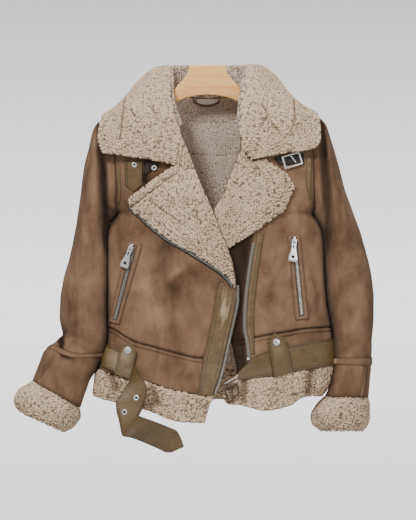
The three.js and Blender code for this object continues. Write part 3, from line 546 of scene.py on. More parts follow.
# Seams above and below each forearm's band, as shares of the sleeve
ELBOW = {"right": (0.828, 0.848), "left": (0.857, 0.882)}


def seam_dip(side, a):
    """How far the forearm's seam hangs lower on the front of the sleeve."""
    return 0.024 * bell((a - 0.27) / 0.12) if side == "right" else 0.0 * a


def arm_ripple(side, a, s):
    """Soft unevenness and small creases of a sleeve, as lift along its normal."""
    base = arm(side, a, s)
    lift = swell(base * [1, 1, 0.6], 38, 31) * 1.0 + swell(base, 16, 33) * 0.3
    for along, round_, reach, sweep, slant, by in FINE_CREASES[side]:
        d = (s - along - slant * (a - round_)) / reach
        lift = lift - by * (bell(d) - 0.5 * bell(d - 1.5)) * bell((a - round_) / sweep)
    return lift * rise(0, 0.05, s) * rise(0, 0.03, 1 - s)


# Form of the lapels and the collar
LAPELS = {
    "right": {
        "top": legs([(-46, -128.6), (-57, -184), (-100, -213), (-140, -243)]),
        "roll": (-128.6, -403, EDGE_RIGHT, -0.5),
        "free": curve([
            (-140, -243), (-134, -257), (-118, -273), (-84, -303), (-36, -333), (3, -357), (27, -374),
            (41, -388), (50.5, -403),
        ]),
    },
    "left": {
        "top": legs([(60, -148.6), (75, -176), (104, -173), (142, -200), (156, -221)]),
        "roll": (-148.6, -372, EDGE_LEFT, 0.5),
        "free": curve([
            (156, -221), (147, -238), (138, -259), (109, -283), (70, -310), (36, -331), (6, -352), (-19.5, -372),
        ]),
    },
}


def lapel_place(side, u, v):
    """Flat place on a lapel: u from the roll line to the free edge, v from the notch down."""
    u, v = np.broadcast_arrays(np.asarray(u, float), np.asarray(v, float))
    z0, z1, edge, shift = LAPELS[side]["roll"]

    def roll(t):
        z = mix(z0, z1, np.asarray(t, float))
        return np.stack([edge(z) + shift, z], -1)

    top = LAPELS[side]["top"]
    end = roll(1)
    u1, v1 = u[..., None], v[..., None]
    sides = (1 - v1) * top(u) + v1 * end + (1 - u1) * roll(v) + u1 * LAPELS[side]["free"](v)
    return sides - ((1 - u1) * (1 - v1) * top(0) + u1 * (1 - v1) * top(1) + v1 * end)


# The collar: its fold, the rim of its fall, how far the fall arches, and the foot of its stand
CREST = curve([
    (-60, -66, -180), (-54.5, -66, -155), (-49.5, -65, -126), (-58, -62, -103), (-66, -47, -70), (-69, -10, -36),
    (-68, 34, -6), (-42, 54, -4), (0, 62, -4), (44, 54, -4), (74, 34, -4), (67, -10, -36), (62, -47, -72),
    (60, -62, -112), (63, -65, -143), (70, -66, -158), (79, -66, -171),
])
RIM = curve([
    (-187, -64, -160), (-194, -60, -144), (-195, -53, -128), (-190, -38, -103), (-185, -10, -92), (-172, 24, -96),
    (-150, 50, -108), (-90, 70, -112), (0, 72, -113), (90, 70, -112), (153, 50, -104), (177, 24, -92),
    (190, -10, -86), (199, -38, -98), (202, -53, -127), (200, -60, -141), (192, -64, -153),
])
BULGE = track([
    (0, 3), (0.12, 8), (0.25, 22), (0.38, 30), (0.5, 26), (0.62, 30), (0.75, 22), (0.88, 8), (1, 3),
])
NECK = curve([
    (-45, -50, -110), (-56, -40, -86), (-63, -16, -43), (-62, 12, -40), (-40, 39, -54.5), (0, 45, -59),
    (42, 39, -54.5), (62, 12, -40), (62, -16, -43), (56, -40, -90), (54, -50, -118),
])


def collar_place(u, v):
    """Middle of the collar's fall, clear of the shoulders."""
    c = CREST(u)
    across = RIM(u) - c
    flat = np.stack([c[..., 0] + across[..., 0] / 2, c[..., 1] + across[..., 1] / 2], -1)
    flat = unit(flat) * 0.7
    arch = (BULGE(u) * np.sin(np.pi * v**0.75) * 0.75)[..., None]
    p = c + across * v[..., None] + np.concatenate([flat, np.ones_like(flat[..., :1])], -1) * arch
    x, y, z = p[..., 0], p[..., 1], p[..., 2]
    room = 5 + FLEECE / 2
    deep = np.where(y < 0, 60, 57)  # half depth of the shoulders, front and back
    low = np.stack([x, np.where(y < 0, np.minimum(y, -deep - room), np.maximum(y, deep + room)), z], -1)
    up = np.maximum(z - CAP_Z, 1e-3)
    share = (np.abs(y) / deep) ** ARCH + (up / (ridge(x) - CAP_Z)) ** ARCH
    scale = np.maximum(1, share ** (-1 / ARCH) + room / np.maximum(np.hypot(y, up), 1e-6))
    high = np.stack([x, y * scale, CAP_Z + up * scale], -1)
    return np.where((z <= CAP_Z)[..., None], low, high)


def stand_place(u, v):
    """Middle of the collar's stand, from the neck up into the fold."""
    c = CREST(mix(0.17, 0.83, u))
    flat = unit(np.stack([c[..., 0], c[..., 1], np.zeros_like(c[..., 0])], -1))
    return mix(NECK(u), c - flat * 5.0 - np.array([0, 0, 1.2]), v[..., None])


# Materials
def hue(rgb):
    """Linear colour from eight-bit screen values."""
    c = np.array(rgb, float) / 255
    lin = np.where(c <= 0.04045, c / 12.92, ((c + 0.055) / 1.055) ** 2.4)
    return (*[float(v) for v in lin], 1.0)


def add_node(tree, kind, /, inputs=None, **settings):
    """A node with its settings, and its inputs set or linked by name or number."""
    node = tree.nodes.new(kind)
    for key, value in settings.items():
        setattr(node, key, value)
    for key, value in (inputs or {}).items():
        if isinstance(value, bpy.types.NodeSocket):
            tree.links.new(value, node.inputs[key])
        else:
            node.inputs[key].default_value = value
    return node


def maths(tree, operation, a, b=0.0, clamp=False):
    return add_node(tree, "ShaderNodeMath", {0: a, 1: b}, operation=operation, use_clamp=clamp).outputs[0]


def blend_colour(tree, a, b, share, how="MIX"):
    node = add_node(tree, "ShaderNodeMix", {0: share, 6: a, 7: b}, data_type="RGBA", blend_type=how)
    return node.outputs[2]


def spread(tree, value, lo, hi, out_lo=0.0, out_hi=1.0):
    return add_node(tree, "ShaderNodeMapRange", {0: value, 1: lo, 2: hi, 3: out_lo, 4: out_hi}).outputs[0]


def dimmed(tree, colour, value):
    """A colour times a value."""
    grey = add_node(tree, "ShaderNodeCombineColor", {0: value, 1: value, 2: value}).outputs[0]
    return blend_colour(tree, colour, grey, 1.0, "MULTIPLY")


def noise(tree, where, scale, detail, rough=0.5, distort=0.0):
    inputs = {"Vector": where, "Scale": scale, "Detail": detail, "Roughness": rough, "Distortion": distort}
    return add_node(tree, "ShaderNodeTexNoise", inputs).outputs[0]


def cell_edge(tree, where, scale):
    """Distance from the edges of small cells."""
    inputs = {"Vector": where, "Scale": scale}
    return add_node(tree, "ShaderNodeTexVoronoi", inputs, feature="DISTANCE_TO_EDGE").outputs[0]


def stretched(tree, where, scale):
    return add_node(tree, "ShaderNodeMapping", {"Vector": where, "Scale": scale}).outputs[0]


def new_group(name, inputs, outputs):
    """A shader node group with named sockets; inputs are name, kind and default."""
    group = bpy.data.node_groups.new(name, "ShaderNodeTree")
    for label, kind, default in inputs:
        socket = group.interface.new_socket(label, in_out="INPUT", socket_type=kind)
        if default is not None:
            socket.default_value = default
    for label, kind in outputs:
        group.interface.new_socket(label, in_out="OUTPUT", socket_type=kind)
    return group, group.nodes.new("NodeGroupInput").outputs, group.nodes.new("NodeGroupOutput").inputs


VALUE, COLOUR, VECTOR = "NodeSocketFloat", "NodeSocketColor", "NodeSocketVector"


def nap_group():
    """Brushed suede: light and dark strokes of the nap and fine grain, with painted shade in seams, grooves and
    creases, and painted highlights where its marks are below zero.
    """
    g, given, out = new_group(
        "suede_nap",
        [("Vector", VECTOR, None), ("Color", COLOUR, None), ("Dark", COLOUR, None), ("Seam", VALUE, 0.0),
         ("Stroke", VALUE, 1.0)],
        [("Color", COLOUR), ("Height", VALUE)],
    )
    where = given["Vector"]
    broad = noise(g, stretched(g, where, (1, 1, 0.6)), 15, 3, 0.55, 0.8)
    stroke = noise(g, stretched(g, where, (1, 1, 0.45)), 60, 3, 0.6, 0.5)
    grain = noise(g, where, 420, 4, 0.8)
    both = maths(g, "ADD", maths(g, "MULTIPLY", broad, 0.68), maths(g, "MULTIPLY", stroke, 0.32))
    share = maths(g, "MULTIPLY", spread(g, both, 0.36, 0.66, 1.0, 0.0), given["Stroke"])
    tone = blend_colour(g, given["Color"], given["Dark"], share)
    tone = dimmed(g, tone, spread(g, grain, 0.3, 0.7, 0.82, 1.16))
    # Marks below zero lighten it towards a pale tone: lighter nap strokes and painted highlights.
    painted_highlight = maths(g, "MULTIPLY", given["Seam"], -1.0, clamp=True)
    tone = blend_colour(g, tone, hue((196, 164, 136)), painted_highlight)
    # Marks above zero darken it nearly to black: painted shade in seams, grooves and creases, and darker nap strokes.
    deep = blend_colour(g, tone, hue((30, 20, 14)), maths(g, "MULTIPLY", given["Seam"], 0.92, clamp=True))
    g.links.new(deep, out["Color"])
    relief = maths(g, "ADD", maths(g, "MULTIPLY", grain, 0.6), maths(g, "MULTIPLY", stroke, 0.8))
    g.links.new(relief, out["Height"])
    return g


def pile_group():
    """Curly pile: light tips between roots darkened as painted shade in the crevices, fine fibres, and small curls of
    its own where Own is 1.
    """
    g, given, out = new_group(
        "fleece_pile",
        [("Vector", VECTOR, None), ("Tip", COLOUR, None), ("Root", COLOUR, None), ("Pile", VALUE, 1.0),
         ("Own", VALUE, 0.0)],
        [("Color", COLOUR), ("Height", VALUE)],
    )
    where = given["Vector"]
    fibre = noise(g, where, 520, 3, 0.7, 0.6)
    patch = noise(g, where, 22, 2, 0.5)
    sway = add_node(g, "ShaderNodeTexNoise", {"Vector": where, "Scale": 110.0, "Detail": 1.0}).outputs[1]
    bend = {0: sway, 1: (0.005, 0.005, 0.005), 2: where}
    bent = add_node(g, "ShaderNodeVectorMath", bend, operation="MULTIPLY_ADD").outputs[0]
    own = spread(g, cell_edge(g, bent, 250.0), 0.0, 0.17, 1.0, 0.0)
    own = maths(g, "SUBTRACT", 1.0, maths(g, "MULTIPLY", own, given["Own"]))
    depth = spread(g, maths(g, "MULTIPLY", given["Pile"], own), 0.0, 0.52)
    depth = maths(g, "ADD", depth, maths(g, "MULTIPLY", maths(g, "SUBTRACT", fibre, 0.5), 0.5), clamp=True)
    # Low pile takes the root colour: painted shade in the crevices between curls and in creases.
    tone = blend_colour(g, given["Root"], given["Tip"], depth)
    tone = dimmed(g, tone, spread(g, patch, 0.3, 0.7, 0.93, 1.05))
    g.links.new(tone, out["Color"])
    g.links.new(maths(g, "ADD", own, maths(g, "MULTIPLY", fibre, 0.35)), out["Height"])
    return g


def grain_group():
    """Smooth leather: fine pebbles, cloudy patina, lighter scuffed places; its marks darken edges, stitch lines and
    painted shade, and below zero paint highlights.
    """
    g, given, out = new_group(
        "leather_grain",
        [("Vector", VECTOR, None), ("Color", COLOUR, None), ("Light", COLOUR, None), ("Rubbed", VALUE, 0.4),
         ("Edge", VALUE, 0.0)],
        [("Color", COLOUR), ("Roughness", VALUE), ("Height", VALUE)],
    )
    where = given["Vector"]
    pebble = spread(g, cell_edge(g, where, 620.0), 0.0, 0.16)
    cloud = noise(g, where, 45, 4, 0.6, 0.7)
    rub = maths(g, "MULTIPLY", spread(g, noise(g, where, 150, 3, 0.65, 1.0), 0.5, 0.72), given["Rubbed"])
    tone = blend_colour(g, given["Color"], given["Light"], rub)
    tone = dimmed(g, tone, spread(g, cloud, 0.3, 0.7, 0.84, 1.12))
    # Marks below zero lighten the leather as a painted highlight.
    painted_light = maths(g, "MULTIPLY", given["Edge"], -1.0, clamp=True)
    tone = blend_colour(g, tone, hue((206, 182, 150)), painted_light)
    # Marks above zero darken its edges and stitch lines, and paint shade in folds and on the belt's far end.
    tone = blend_colour(g, tone, hue((40, 29, 18)), maths(g, "MULTIPLY", given["Edge"], 0.75, clamp=True))
    g.links.new(tone, out["Color"])
    g.links.new(spread(g, cloud, 0.3, 0.7, 0.52, 0.36), out["Roughness"])
    g.links.new(maths(g, "ADD", pebble, maths(g, "MULTIPLY", cloud, 1.5)), out["Height"])
    return g


def wood_group():
    """Pale wood: long grain lines and soft figure."""
    g, given, out = new_group(
        "wood_grain",
        [("Vector", VECTOR, None), ("Light", COLOUR, None), ("Dark", COLOUR, None)],
        [("Color", COLOUR), ("Height", VALUE)],
    )
    long = stretched(g, given["Vector"], (0.12, 1, 1))
    rings = noise(g, long, 210, 3, 0.6, 0.9)
    pores = noise(g, long, 1300, 2, 0.6)
    both = maths(g, "ADD", maths(g, "MULTIPLY", rings, 0.75), maths(g, "MULTIPLY", pores, 0.25))
    g.links.new(blend_colour(g, given["Light"], given["Dark"], spread(g, both, 0.44, 0.68)), out["Color"])
    g.links.new(both, out["Height"])
    return g


def polish_group():
    """Bright metal with faint handling marks."""
    g, given, out = new_group(
        "metal_polish", [("Vector", VECTOR, None), ("Color", COLOUR, None), ("Dull", COLOUR, None)],
        [("Color", COLOUR), ("Roughness", VALUE)],
    )
    haze = noise(g, given["Vector"], 320, 3, 0.6)
    g.links.new(blend_colour(g, given["Color"], given["Dull"], spread(g, haze, 0.5, 0.8)), out["Color"])
    g.links.new(spread(g, haze, 0.3, 0.75, 0.14, 0.34), out["Roughness"])
    return g


def weave_group():
    """Plain weave of tapes and labels."""
    g, given, out = new_group(
        "tape_weave", [("Vector", VECTOR, None), ("Color", COLOUR, None), ("Dark", COLOUR, None)],
        [("Color", COLOUR), ("Height", VALUE)],
    )
    threads = {"Vector": given["Vector"], "Scale": 380.0}
    warp, weft = (add_node(g, "ShaderNodeTexWave", threads, bands_direction=way).outputs[1] for way in "XZ")
    both = maths(g, "MULTIPLY", warp, weft)
    share = spread(g, both, 0.0, 0.6, 0.3, 1.0)
    g.links.new(blend_colour(g, given["Dark"], given["Color"], share), out["Color"])
    g.links.new(both, out["Height"])
    return g


GROUPS = {
    "suede": nap_group, "fleece": pile_group, "leather": grain_group, "wood": wood_group, "metal": polish_group,
    "weave": weave_group,
}
# Each finish: its kind, the group's sockets (a word names a colour of the look's settings), depth of the
# bump in mm, constant sockets of the shader
FINISHES = {
    "suede": ("suede", {"Color": "suede", "Dark": (102, 76, 57)}, 0.35,
              {"Roughness": 0.95, "Sheen Weight": 0.04, "Sheen Roughness": 0.5, "Specular IOR Level": 0.1}),
    "fleece": ("fleece", {"Tip": "fleece", "Root": (110, 86, 66), "Own": 0.38}, 1.8,
               {"Roughness": 1.0, "Sheen Weight": 0.08, "Sheen Roughness": 0.6, "Specular IOR Level": 0.1}),
    "fleece_lining": ("fleece", {"Tip": "lining", "Root": (132, 110, 92), "Own": 1.0}, 1.2,
                      {"Roughness": 1.0, "Sheen Weight": 0.05, "Specular IOR Level": 0.1}),
    "leather": ("leather", {"Color": "leather", "Light": (168, 140, 108)}, 0.16, {"Specular IOR Level": 0.5}),
    "strap": ("leather", {"Color": "strap", "Light": (124, 99, 66)}, 0.1, {"Specular IOR Level": 0.5}),
    "band_suede": ("leather", {"Color": (126, 98, 74), "Light": (146, 118, 94)}, 0.12, {"Specular IOR Level": 0.3}),
    "pocket": ("leather", {"Color": (134, 103, 79), "Light": (156, 126, 98)}, 0.12, {"Specular IOR Level": 0.35}),
    "buckle": ("leather", {"Color": (78, 61, 43), "Light": (104, 84, 60)}, 0.1, {"Specular IOR Level": 0.5}),
    # The strap leather darkened as painted shade, for the throat straps under the collar; also the dark zip tape's own
    # colour.
    "strap_dark": ("leather", {"Color": (32, 22, 16), "Light": (50, 36, 27)}, 0.1, {"Specular IOR Level": 0.4}),
    "tape": ("weave", {"Color": (152, 138, 120), "Dark": (112, 98, 82)}, 0.1, {"Roughness": 0.85}),
    "label": ("weave", {"Color": (250, 244, 236), "Dark": (222, 212, 200)}, 0.1, {"Roughness": 0.8}),
    "metal": ("metal", {"Color": "metal", "Dull": (206, 206, 204)}, 0, {"Metallic": 0.65}),
    "teeth": ("metal", {"Color": (206, 203, 194), "Dull": (150, 146, 138)}, 0, {"Metallic": 0.6}),
    "wood": ("wood", {"Light": "wood", "Dark": (242, 164, 88)}, 0.05,
             {"Roughness": 0.42, "Coat Weight": 0.2, "Coat Roughness": 0.3}),
    # pit: near-black painted shade standing in for the inside of holes and openings.
    "pit": ("weave", {"Color": (30, 24, 20), "Dark": (18, 14, 12)}, 0.0, {"Roughness": 0.9}),
}
# The socket that takes each kind's marks on the mesh
MARKS = {"suede": "Seam", "fleece": "Pile", "leather": "Edge"}
made = {}


def finish(name):
    """The material of a finish, made once."""
    if name in made:
        return made[name]
    kind, sockets, bump, constants = FINISHES[name]
    group = kind + "_group"
    if group not in made:
        made[group] = GROUPS[kind]()
    material = bpy.data.materials.new("jacket_" + name)
    material.use_nodes = True
    tree = material.node_tree
    shader = next(n for n in tree.nodes if n.type == "BSDF_PRINCIPLED")
    for key, value in constants.items():
        shader.inputs[key].default_value = value
    effect = tree.nodes.new("ShaderNodeGroup")
    effect.node_tree = made[group]
    tree.links.new(tree.nodes.new("ShaderNodeTexCoord").outputs["Object"], effect.inputs["Vector"])
    for key, value in sockets.items():
        if isinstance(value, str):
            value = getattr(bpy.context.scene.jacket_look, value)
        elif isinstance(value, tuple):
            value = hue(value)
        effect.inputs[key].default_value = value
    if kind in MARKS:
        mark = add_node(tree, "ShaderNodeAttribute", attribute_name="mark")
        tree.links.new(mark.outputs["Fac"], effect.inputs[MARKS[kind]])
    tree.links.new(effect.outputs["Color"], shader.inputs["Base Color"])
    if "Roughness" in effect.outputs:
        tree.links.new(effect.outputs["Roughness"], shader.inputs["Roughness"])
    if bump and "Height" in effect.outputs:
        relief = {"Height": effect.outputs["Height"], "Distance": bump * MM, "Strength": 1.0}
        dent = add_node(tree, "ShaderNodeBump", relief)
        tree.links.new(dent.outputs[0], shader.inputs["Normal"])
    made[name] = material
    return material


# Meshes
def put(name, points, faces, looks, look_of=None, mark=None, body_name="jacket", replaces=(), slot=None,
        smooth=True):
    """A piece from points in mm and faces of three or four corners."""
    mesh = bpy.data.meshes.new(name)
    points = np.asarray(points, float)
    if isinstance(faces, np.ndarray):
        corners = points[faces]
        tri = np.concatenate([corners[:, [0, 1, 2]], corners[:, [0, 2, 3]]])
        volume = np.sum(tri[:, 0] * np.cross(tri[:, 1], tri[:, 2]))
        if volume < 0:
            faces = faces[:, ::-1]
        mesh.vertices.add(len(points))
        mesh.vertices.foreach_set("co", (points * MM).astype(np.float32).ravel())
        mesh.loops.add(faces.size)
        mesh.loops.foreach_set("vertex_index", faces.astype(np.int32).ravel())
        mesh.polygons.add(len(faces))
        mesh.polygons.foreach_set("loop_start", np.arange(0, faces.size, 4, dtype=np.int32))
        mesh.update(calc_edges=True)
    else:
        mesh.from_pydata([tuple(p) for p in points * MM], [], faces)
    for look in looks:
        mesh.materials.append(finish(look))
    if look_of is not None:
        mesh.polygons.foreach_set("material_index", np.asarray(look_of, dtype=np.int32))
    mesh.polygons.foreach_set("use_smooth", np.full(len(mesh.polygons), smooth))
    if mark is not None:
        mesh.attributes.new("mark", "FLOAT", "POINT").data.foreach_set("value", np.asarray(mark, np.float32))
    mesh.validate()
    mesh.update()
    piece = bpy.data.objects.new(name, mesh)
    bpy.context.scene.collection.objects.link(piece)
    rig.ride(piece, body_name)
    if replaces:
        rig.replaces(piece, *replaces)
    if slot:
        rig.slot(piece, slot)
    return piece


def rolled(near, far, axis, bulge, steps):
    """Both grids, with rows added past their ends along an axis that bend round to meet halfway."""
    def ends(a, b, order):
        edge, other, next_ = (np.take(g, k, axis) for g, k in ((a, order[0]), (b, order[0]), (a, order[1])))
        middle, half = (edge + other) / 2, (edge - other) / 2
        away = unit(edge - next_)
        reach = np.linalg.norm(half, axis=-1, keepdims=True) * bulge
        turns = [math.pi / 2 * (k + 1) / steps for k in range(steps)]
        return [middle + half * math.cos(t) + away * reach * math.sin(t) for t in turns]

    out = []
    for a, b in ((near, far), (far, near)):
        first = ends(a, b, (0, 1))[::-1]
        last = ends(a, b, (-1, -2))
        parts = [np.stack(first, axis), a, np.stack(last, axis)]
        out.append(np.concatenate(parts, axis))
    # The last row on each side is one line, shared by both grids
    for k in (0, -1):
        index = [slice(None)] * 3
        index[axis] = k
        middle = (out[0][tuple(index)] + out[1][tuple(index)]) / 2
        out[0][tuple(index)] = out[1][tuple(index)] = middle
    return out


def shell(name, outer, inner, looks, closed=False, bulge=0.6, mark=None, steps=2, **how):
    """Closed thin wall between two grids of points, with rounded rims; the first axis may close on itself."""
    marks = None
    if mark is not None:
        marks = mark if isinstance(mark, tuple) else (mark, mark)
        marks = [np.broadcast_to(m, outer.shape[:2]) for m in marks]
        around = (0, 0) if closed else (steps, steps)
        marks = [np.pad(m, (around, (steps, steps)), mode="edge") for m in marks]
    if not closed:
        outer, inner = rolled(outer, inner, 0, bulge, steps)
    outer, inner = rolled(outer, inner, 1, bulge, steps)
    nu, nv = outer.shape[:2]
    top = np.arange(nu * nv).reshape(nu, nv)
    base = top + nu * nv
    base[:, 0], base[:, -1] = top[:, 0], top[:, -1]
    if closed:
        top, base = np.vstack([top, top[:1]]), np.vstack([base, base[:1]])
    else:
        base[0], base[-1] = top[0], top[-1]

    def cells(ids):
        return np.stack([ids[:-1, :-1], ids[1:, :-1], ids[1:, 1:], ids[:-1, 1:]], -1).reshape(-1, 4)

    faces = np.concatenate([cells(top), cells(base)[:, ::-1]])
    look_of = np.repeat([0, len(looks) - 1], len(faces) // 2)
    used = np.unique(faces)
    place = np.zeros(2 * nu * nv, int)
    place[used] = np.arange(len(used))
    points = np.concatenate([outer.reshape(-1, 3), inner.reshape(-1, 3)])[used]
    if marks is not None:
        marks = np.concatenate([m.ravel() for m in marks])[used]
    return put(name, points, place[faces], looks, look_of, marks, **how)


# The body's panels
def panel_places(face, low, high, nu, nv, crowd=1.0):
    """Flat places over a panel between two seams; columns crowd at the side seams."""
    u, v = np.meshgrid(np.linspace(0, 1, nu), np.linspace(0, 1, nv), indexing="ij")
    start, end = SIDES[face]
    w = (1 - np.cos(np.pi * u)) / 2 if face == "back" else 0.35 * u + 0.65 * (1 - np.cos(np.pi * u / 2))
    q = 1 - (1 - v) ** crowd
    z = np.full_like(w, -300.0)
    x = mix(start(z), end(z), w)
    # Side seams and cross seams depend on each other, and settle within a few rounds
    for _ in range(8):
        z = mix(low(x), high(x), q)
        x = mix(start(z), end(z), w)
    return u, v, x, z


def panel_layers(face, u, v, x, z, depths):
    """Layers of points over a panel at depths, square to the cloth and in its own half of the body."""
    p = body(face, x, z)
    n = body_normal(face, x, z)
    side = (u == 0) | (u == 1) if face == "back" else u == 0
    flat = (side & (z < ARMPIT_Z)) | ((v == 1) & (z > -120) & (np.abs(p[..., 1]) < 6))
    n = np.where(flat[..., None], unit(n * [1, 0, 1]), n)
    out = []
    for depth in depths:
        q = p + n * np.asarray(depth)[..., None]
        y = np.maximum(q[..., 1], 0.2) if face == "back" else np.minimum(q[..., 1], -0.2)
        out.append(np.stack([q[..., 0], y, q[..., 2]], -1))
    return out


def cut(outer, closed=False):
    """Flat width, length and area in metres of a grid of points laid out."""
    g = np.concatenate([outer, outer[:1]]) if closed else outer
    wide = np.linalg.norm(np.diff(g, axis=0), axis=-1).sum(0).max() * MM
    long = np.linalg.norm(np.diff(g, axis=1), axis=-1).sum(1).max() * MM
    corner = g[:-1, :-1]
    area = np.linalg.norm(np.cross(g[1:, :-1] - corner, g[:-1, 1:] - corner), axis=-1).sum() * MM * MM
    return {"flat": (float(wide), float(long)), "area": float(np.clip(area, 0.31 * wide * long, wide * long))}


def stitch_line(d, gap=1.1, deep=0.8):
    """Lift of a sewn groove at distance d."""
    return -deep * bell(d / gap)


# Strokes of the nap together with painted light: darker nap, and painted shade in creases, on the right elbow's fold,
# under the lapel, under the throat tab and beside the sleeves; where how dark is below zero, lighter nap and painted
# highlights: part, x, z, long, wide, lean, how dark
NAP_AND_PAINTED_MARKS = [
    ("right", -34, -372, 22, 16, -0.5, 0.24), ("right", -18, -330, 22, 16, -0.6, 0.2),
    ("right", -76, -330, 20, 24, 0.5, 0.42), ("right", -86, -366, 18, 15, 0.6, 0.42),
    ("right", -64, -396, 16, 16, -0.6, 0.4), ("right", -56, -370, 8, 12, 0.2, -0.25),
    ("right", -122, -396, 16, 20, 0.3, -0.2), ("right", -90, -450, 24, 40, 0.0, -0.16),
    ("left", 120, -440, 30, 24, 0.0, -0.12), ("left", 160, -262, 40, 10, 0.1, -0.12),
    ("right", -150, -262, 34, 9, 0.1, 0.25), ("right", -152, -215, 30, 10, 0.1, 0.2),
    ("right", -64, -420, 24, 18, 0.2, 0.14), ("right", -100, -548, 14, 30, 0.3, 0.14),
    ("right", -40, -560, 16, 26, 0.1, 0.12), ("right", -84, -312, 16, 24, 0.8, 0.14),
    ("right", 20, -400, 34, 12, -0.3, 0.16), ("left", 112, -398, 40, 12, 0.1, 0.16),
    ("left", 150, -486, 12, 30, 0.5, 0.2), ("right", -109, -205, 22, 8, -0.1, 0.95),
    ("left", 196, -420, 60, 8, -0.15, 0.3), ("left", 186, -300, 40, 8, -0.3, 0.3),
    ("left", 120, -250, 30, 12, 0.0, 0.2),
    ("right_sleeve", -236, -300, 30, 9, 0.2, 0.2), ("right_sleeve", -222, -380, 26, 10, 0.3, 0.22),
    ("right_sleeve", -246, -430, 24, 10, -0.2, 0.24), ("right_sleeve", -238, -470, 14, 10, 0.4, 0.22),
    ("right_sleeve", -262, -500, 22, 5, 0.12, 1.3), ("right_sleeve", -258, -512, 14, 5, 0.1, 1.2),
    ("right_sleeve", -254, -526, 9, 8, -0.9, 0.9), ("right_sleeve", -276, -500, 14, 8, 0.3, -0.2),
    ("right_sleeve", -291, -548, 20, 7, 0.7, 0.4), ("right_sleeve", -240, -560, 20, 14, 0.3, 0.14),
    ("right_sleeve", -258, -350, 60, 9, -0.2, -0.14), ("left_sleeve", 282, -400, 60, 9, 0.2, -0.1),
    ("left_sleeve", 262, -330, 40, 10, -0.3, 0.16), ("left_sleeve", 250, -430, 30, 9, -0.1, 0.2),
    ("left_sleeve", 284, -470, 26, 8, 0.0, 0.18), ("left_sleeve", 262, -560, 16, 12, 0.4, 0.22),
]


def nap_and_painted_marks(part, p):
    """Marks at points of a part's front: darker nap and painted shade, and below zero lighter nap and painted
    highlights.
    """
    mark = np.zeros(p.shape[:-1])
    q = p + 7 * np.stack([swell(p, 16, 51 + k) for k in range(3)], -1)
    for where, cx, cz, long, wide, lean, dark in NAP_AND_PAINTED_MARKS:
        if where == part:
            d = bell((q[..., 0] - cx - lean * (q[..., 2] - cz)) / wide) * bell((q[..., 2] - cz) / long)
            mark = mark + 1.25 * dark * d * (p[..., 1] < 0)
    return mark


# Seams of the lining that show inside the back
LINING_SEAMS = [
    [(-40, -160), (-14, -161), (20, -163), (60, -160)], [(-30, -101), (0, -104), (36, -102)],
]


def suede_panel(name, face, low, high, nu, nv, crowd, nodes, top_line=None):
    """A suede panel with its lining, between two seams; top_line is a row of stitches below the upper one."""
    u, v, x, z = panel_places(face, low, high, nu, nv, crowd)
    down, up = z - low(x), high(x) - z
    lift = ripple(face, x, z)
    lift = lift * rise(0, 12, down) * rise(0, 12, up)
    lift = lift - 1.3 * bell(down / 2.2) - (1.3 * bell(up / 2.2) if top_line is not None else 0)
    # Painted shade in the seams' grooves, and in the row of stitches below the upper seam.
    mark = 0.9 * bell(down / 2.0)
    if top_line is not None:
        lift = lift + stitch_line(up - top_line)
        mark = mark + 0.9 * bell(up / 2.0) + 0.55 * bell((up - top_line) / 1.4)
    if face != "back":
        z0 = np.clip(z, -600, -60)
        edge = SIDES[face][1](z0)
        near = np.abs(edge - x)
        mark = mark + 0.25 * bell(near / 2.5) + nap_and_painted_marks(face, body(face, x, z))
        seam = SIDES[face][0](z)
        # Painted shade along the side seam, deepest below the armpit, where the sleeve hangs against the body.
        mark = mark + 0.75 * bell((x - seam) / 7) * rise(-250, -270, z) + 0.35 * bell((x - seam) / 5)
    if face == "left":
        flap = rise(4, -8, x - ZIP_LEFT(z)) * rise(-280, -300, z)
        mark = mark + 0.95 * flap
    outer, inner = panel_layers(face, u, v, x, z, [lift, lift * 0.5 - SHELL + 0.6])
    seams = near_lines(inner, LINING_SEAMS if face == "back" else [])
    pile = 1 - 0.75 * bell(seams / 1.5)
    puff = 0.9 * swell(inner, 22, 60) + 0.5 * swell(inner, 9, 61) + 1.2 * bell(seams / 2.2)
    _, inner = panel_layers(face, u, v, x, z, [lift, lift * 0.5 - SHELL + 0.9 + puff - 1.2])
    piece = shell(name, outer, inner, ("suede", "fleece_lining"), mark=(np.clip(mark, -1, 1), pile),
                  replaces=nodes, slot="suede")
    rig.sheet(piece, held="hung", rests_on=["hanger"], **cut(panel_layers(face, u, v, x, z, [0.0])[0]))


def fleece_wall(name, outer, inner, normal, size, relief, seed, looks=("fleece",), far=0.5, crease=0.0, **how):
    """Fleece on both sides of a wall: lumps stand along normal on the outer side, against it on the inner; the crease
    share darkens the pile as painted shade in creases.
    """
    look = bpy.context.scene.jacket_look
    size, relief = size * look.curl / MM, relief * look.relief / MM
    pile = curls(outer, size, seed)
    clump = swell(outer, size * 4.5, seed + 5)
    back = curls(inner, size, seed + 9)
    out = outer + normal * (relief * (pile - 0.55) * (0.85 + 0.3 * clump))[..., None]
    # Painted shade in creases: the pile's mark drops towards the root colour.
    pile = pile * (1 - crease)
    under = inner - normal * (relief * far * (back - 0.55))[..., None]
    return shell(name, out, under, looks, mark=(pile, back), slot="fleece", **how)


# Folds of the turned-up fleece at the hem
HEM_FOLDS = {
    "right": [[(-172, -560), (-166, -584)], [(-99, -582), (-92, -610)]],
    "left": [[(186, -550), (182, -590)], [(66, -570), (64, -604)], [(36, -566), (44, -596)]],
    "back": [],
}


class Piece:
    """What every operator of the jacket shares."""

    bl_options = {"REGISTER", "UNDO"}

    def execute(self, context):
        before = len(bpy.data.objects)
        self.build(context.scene)
        if len(bpy.data.objects) == before:
            raise RuntimeError(self.bl_idname + " made nothing")
        return {"FINISHED"}


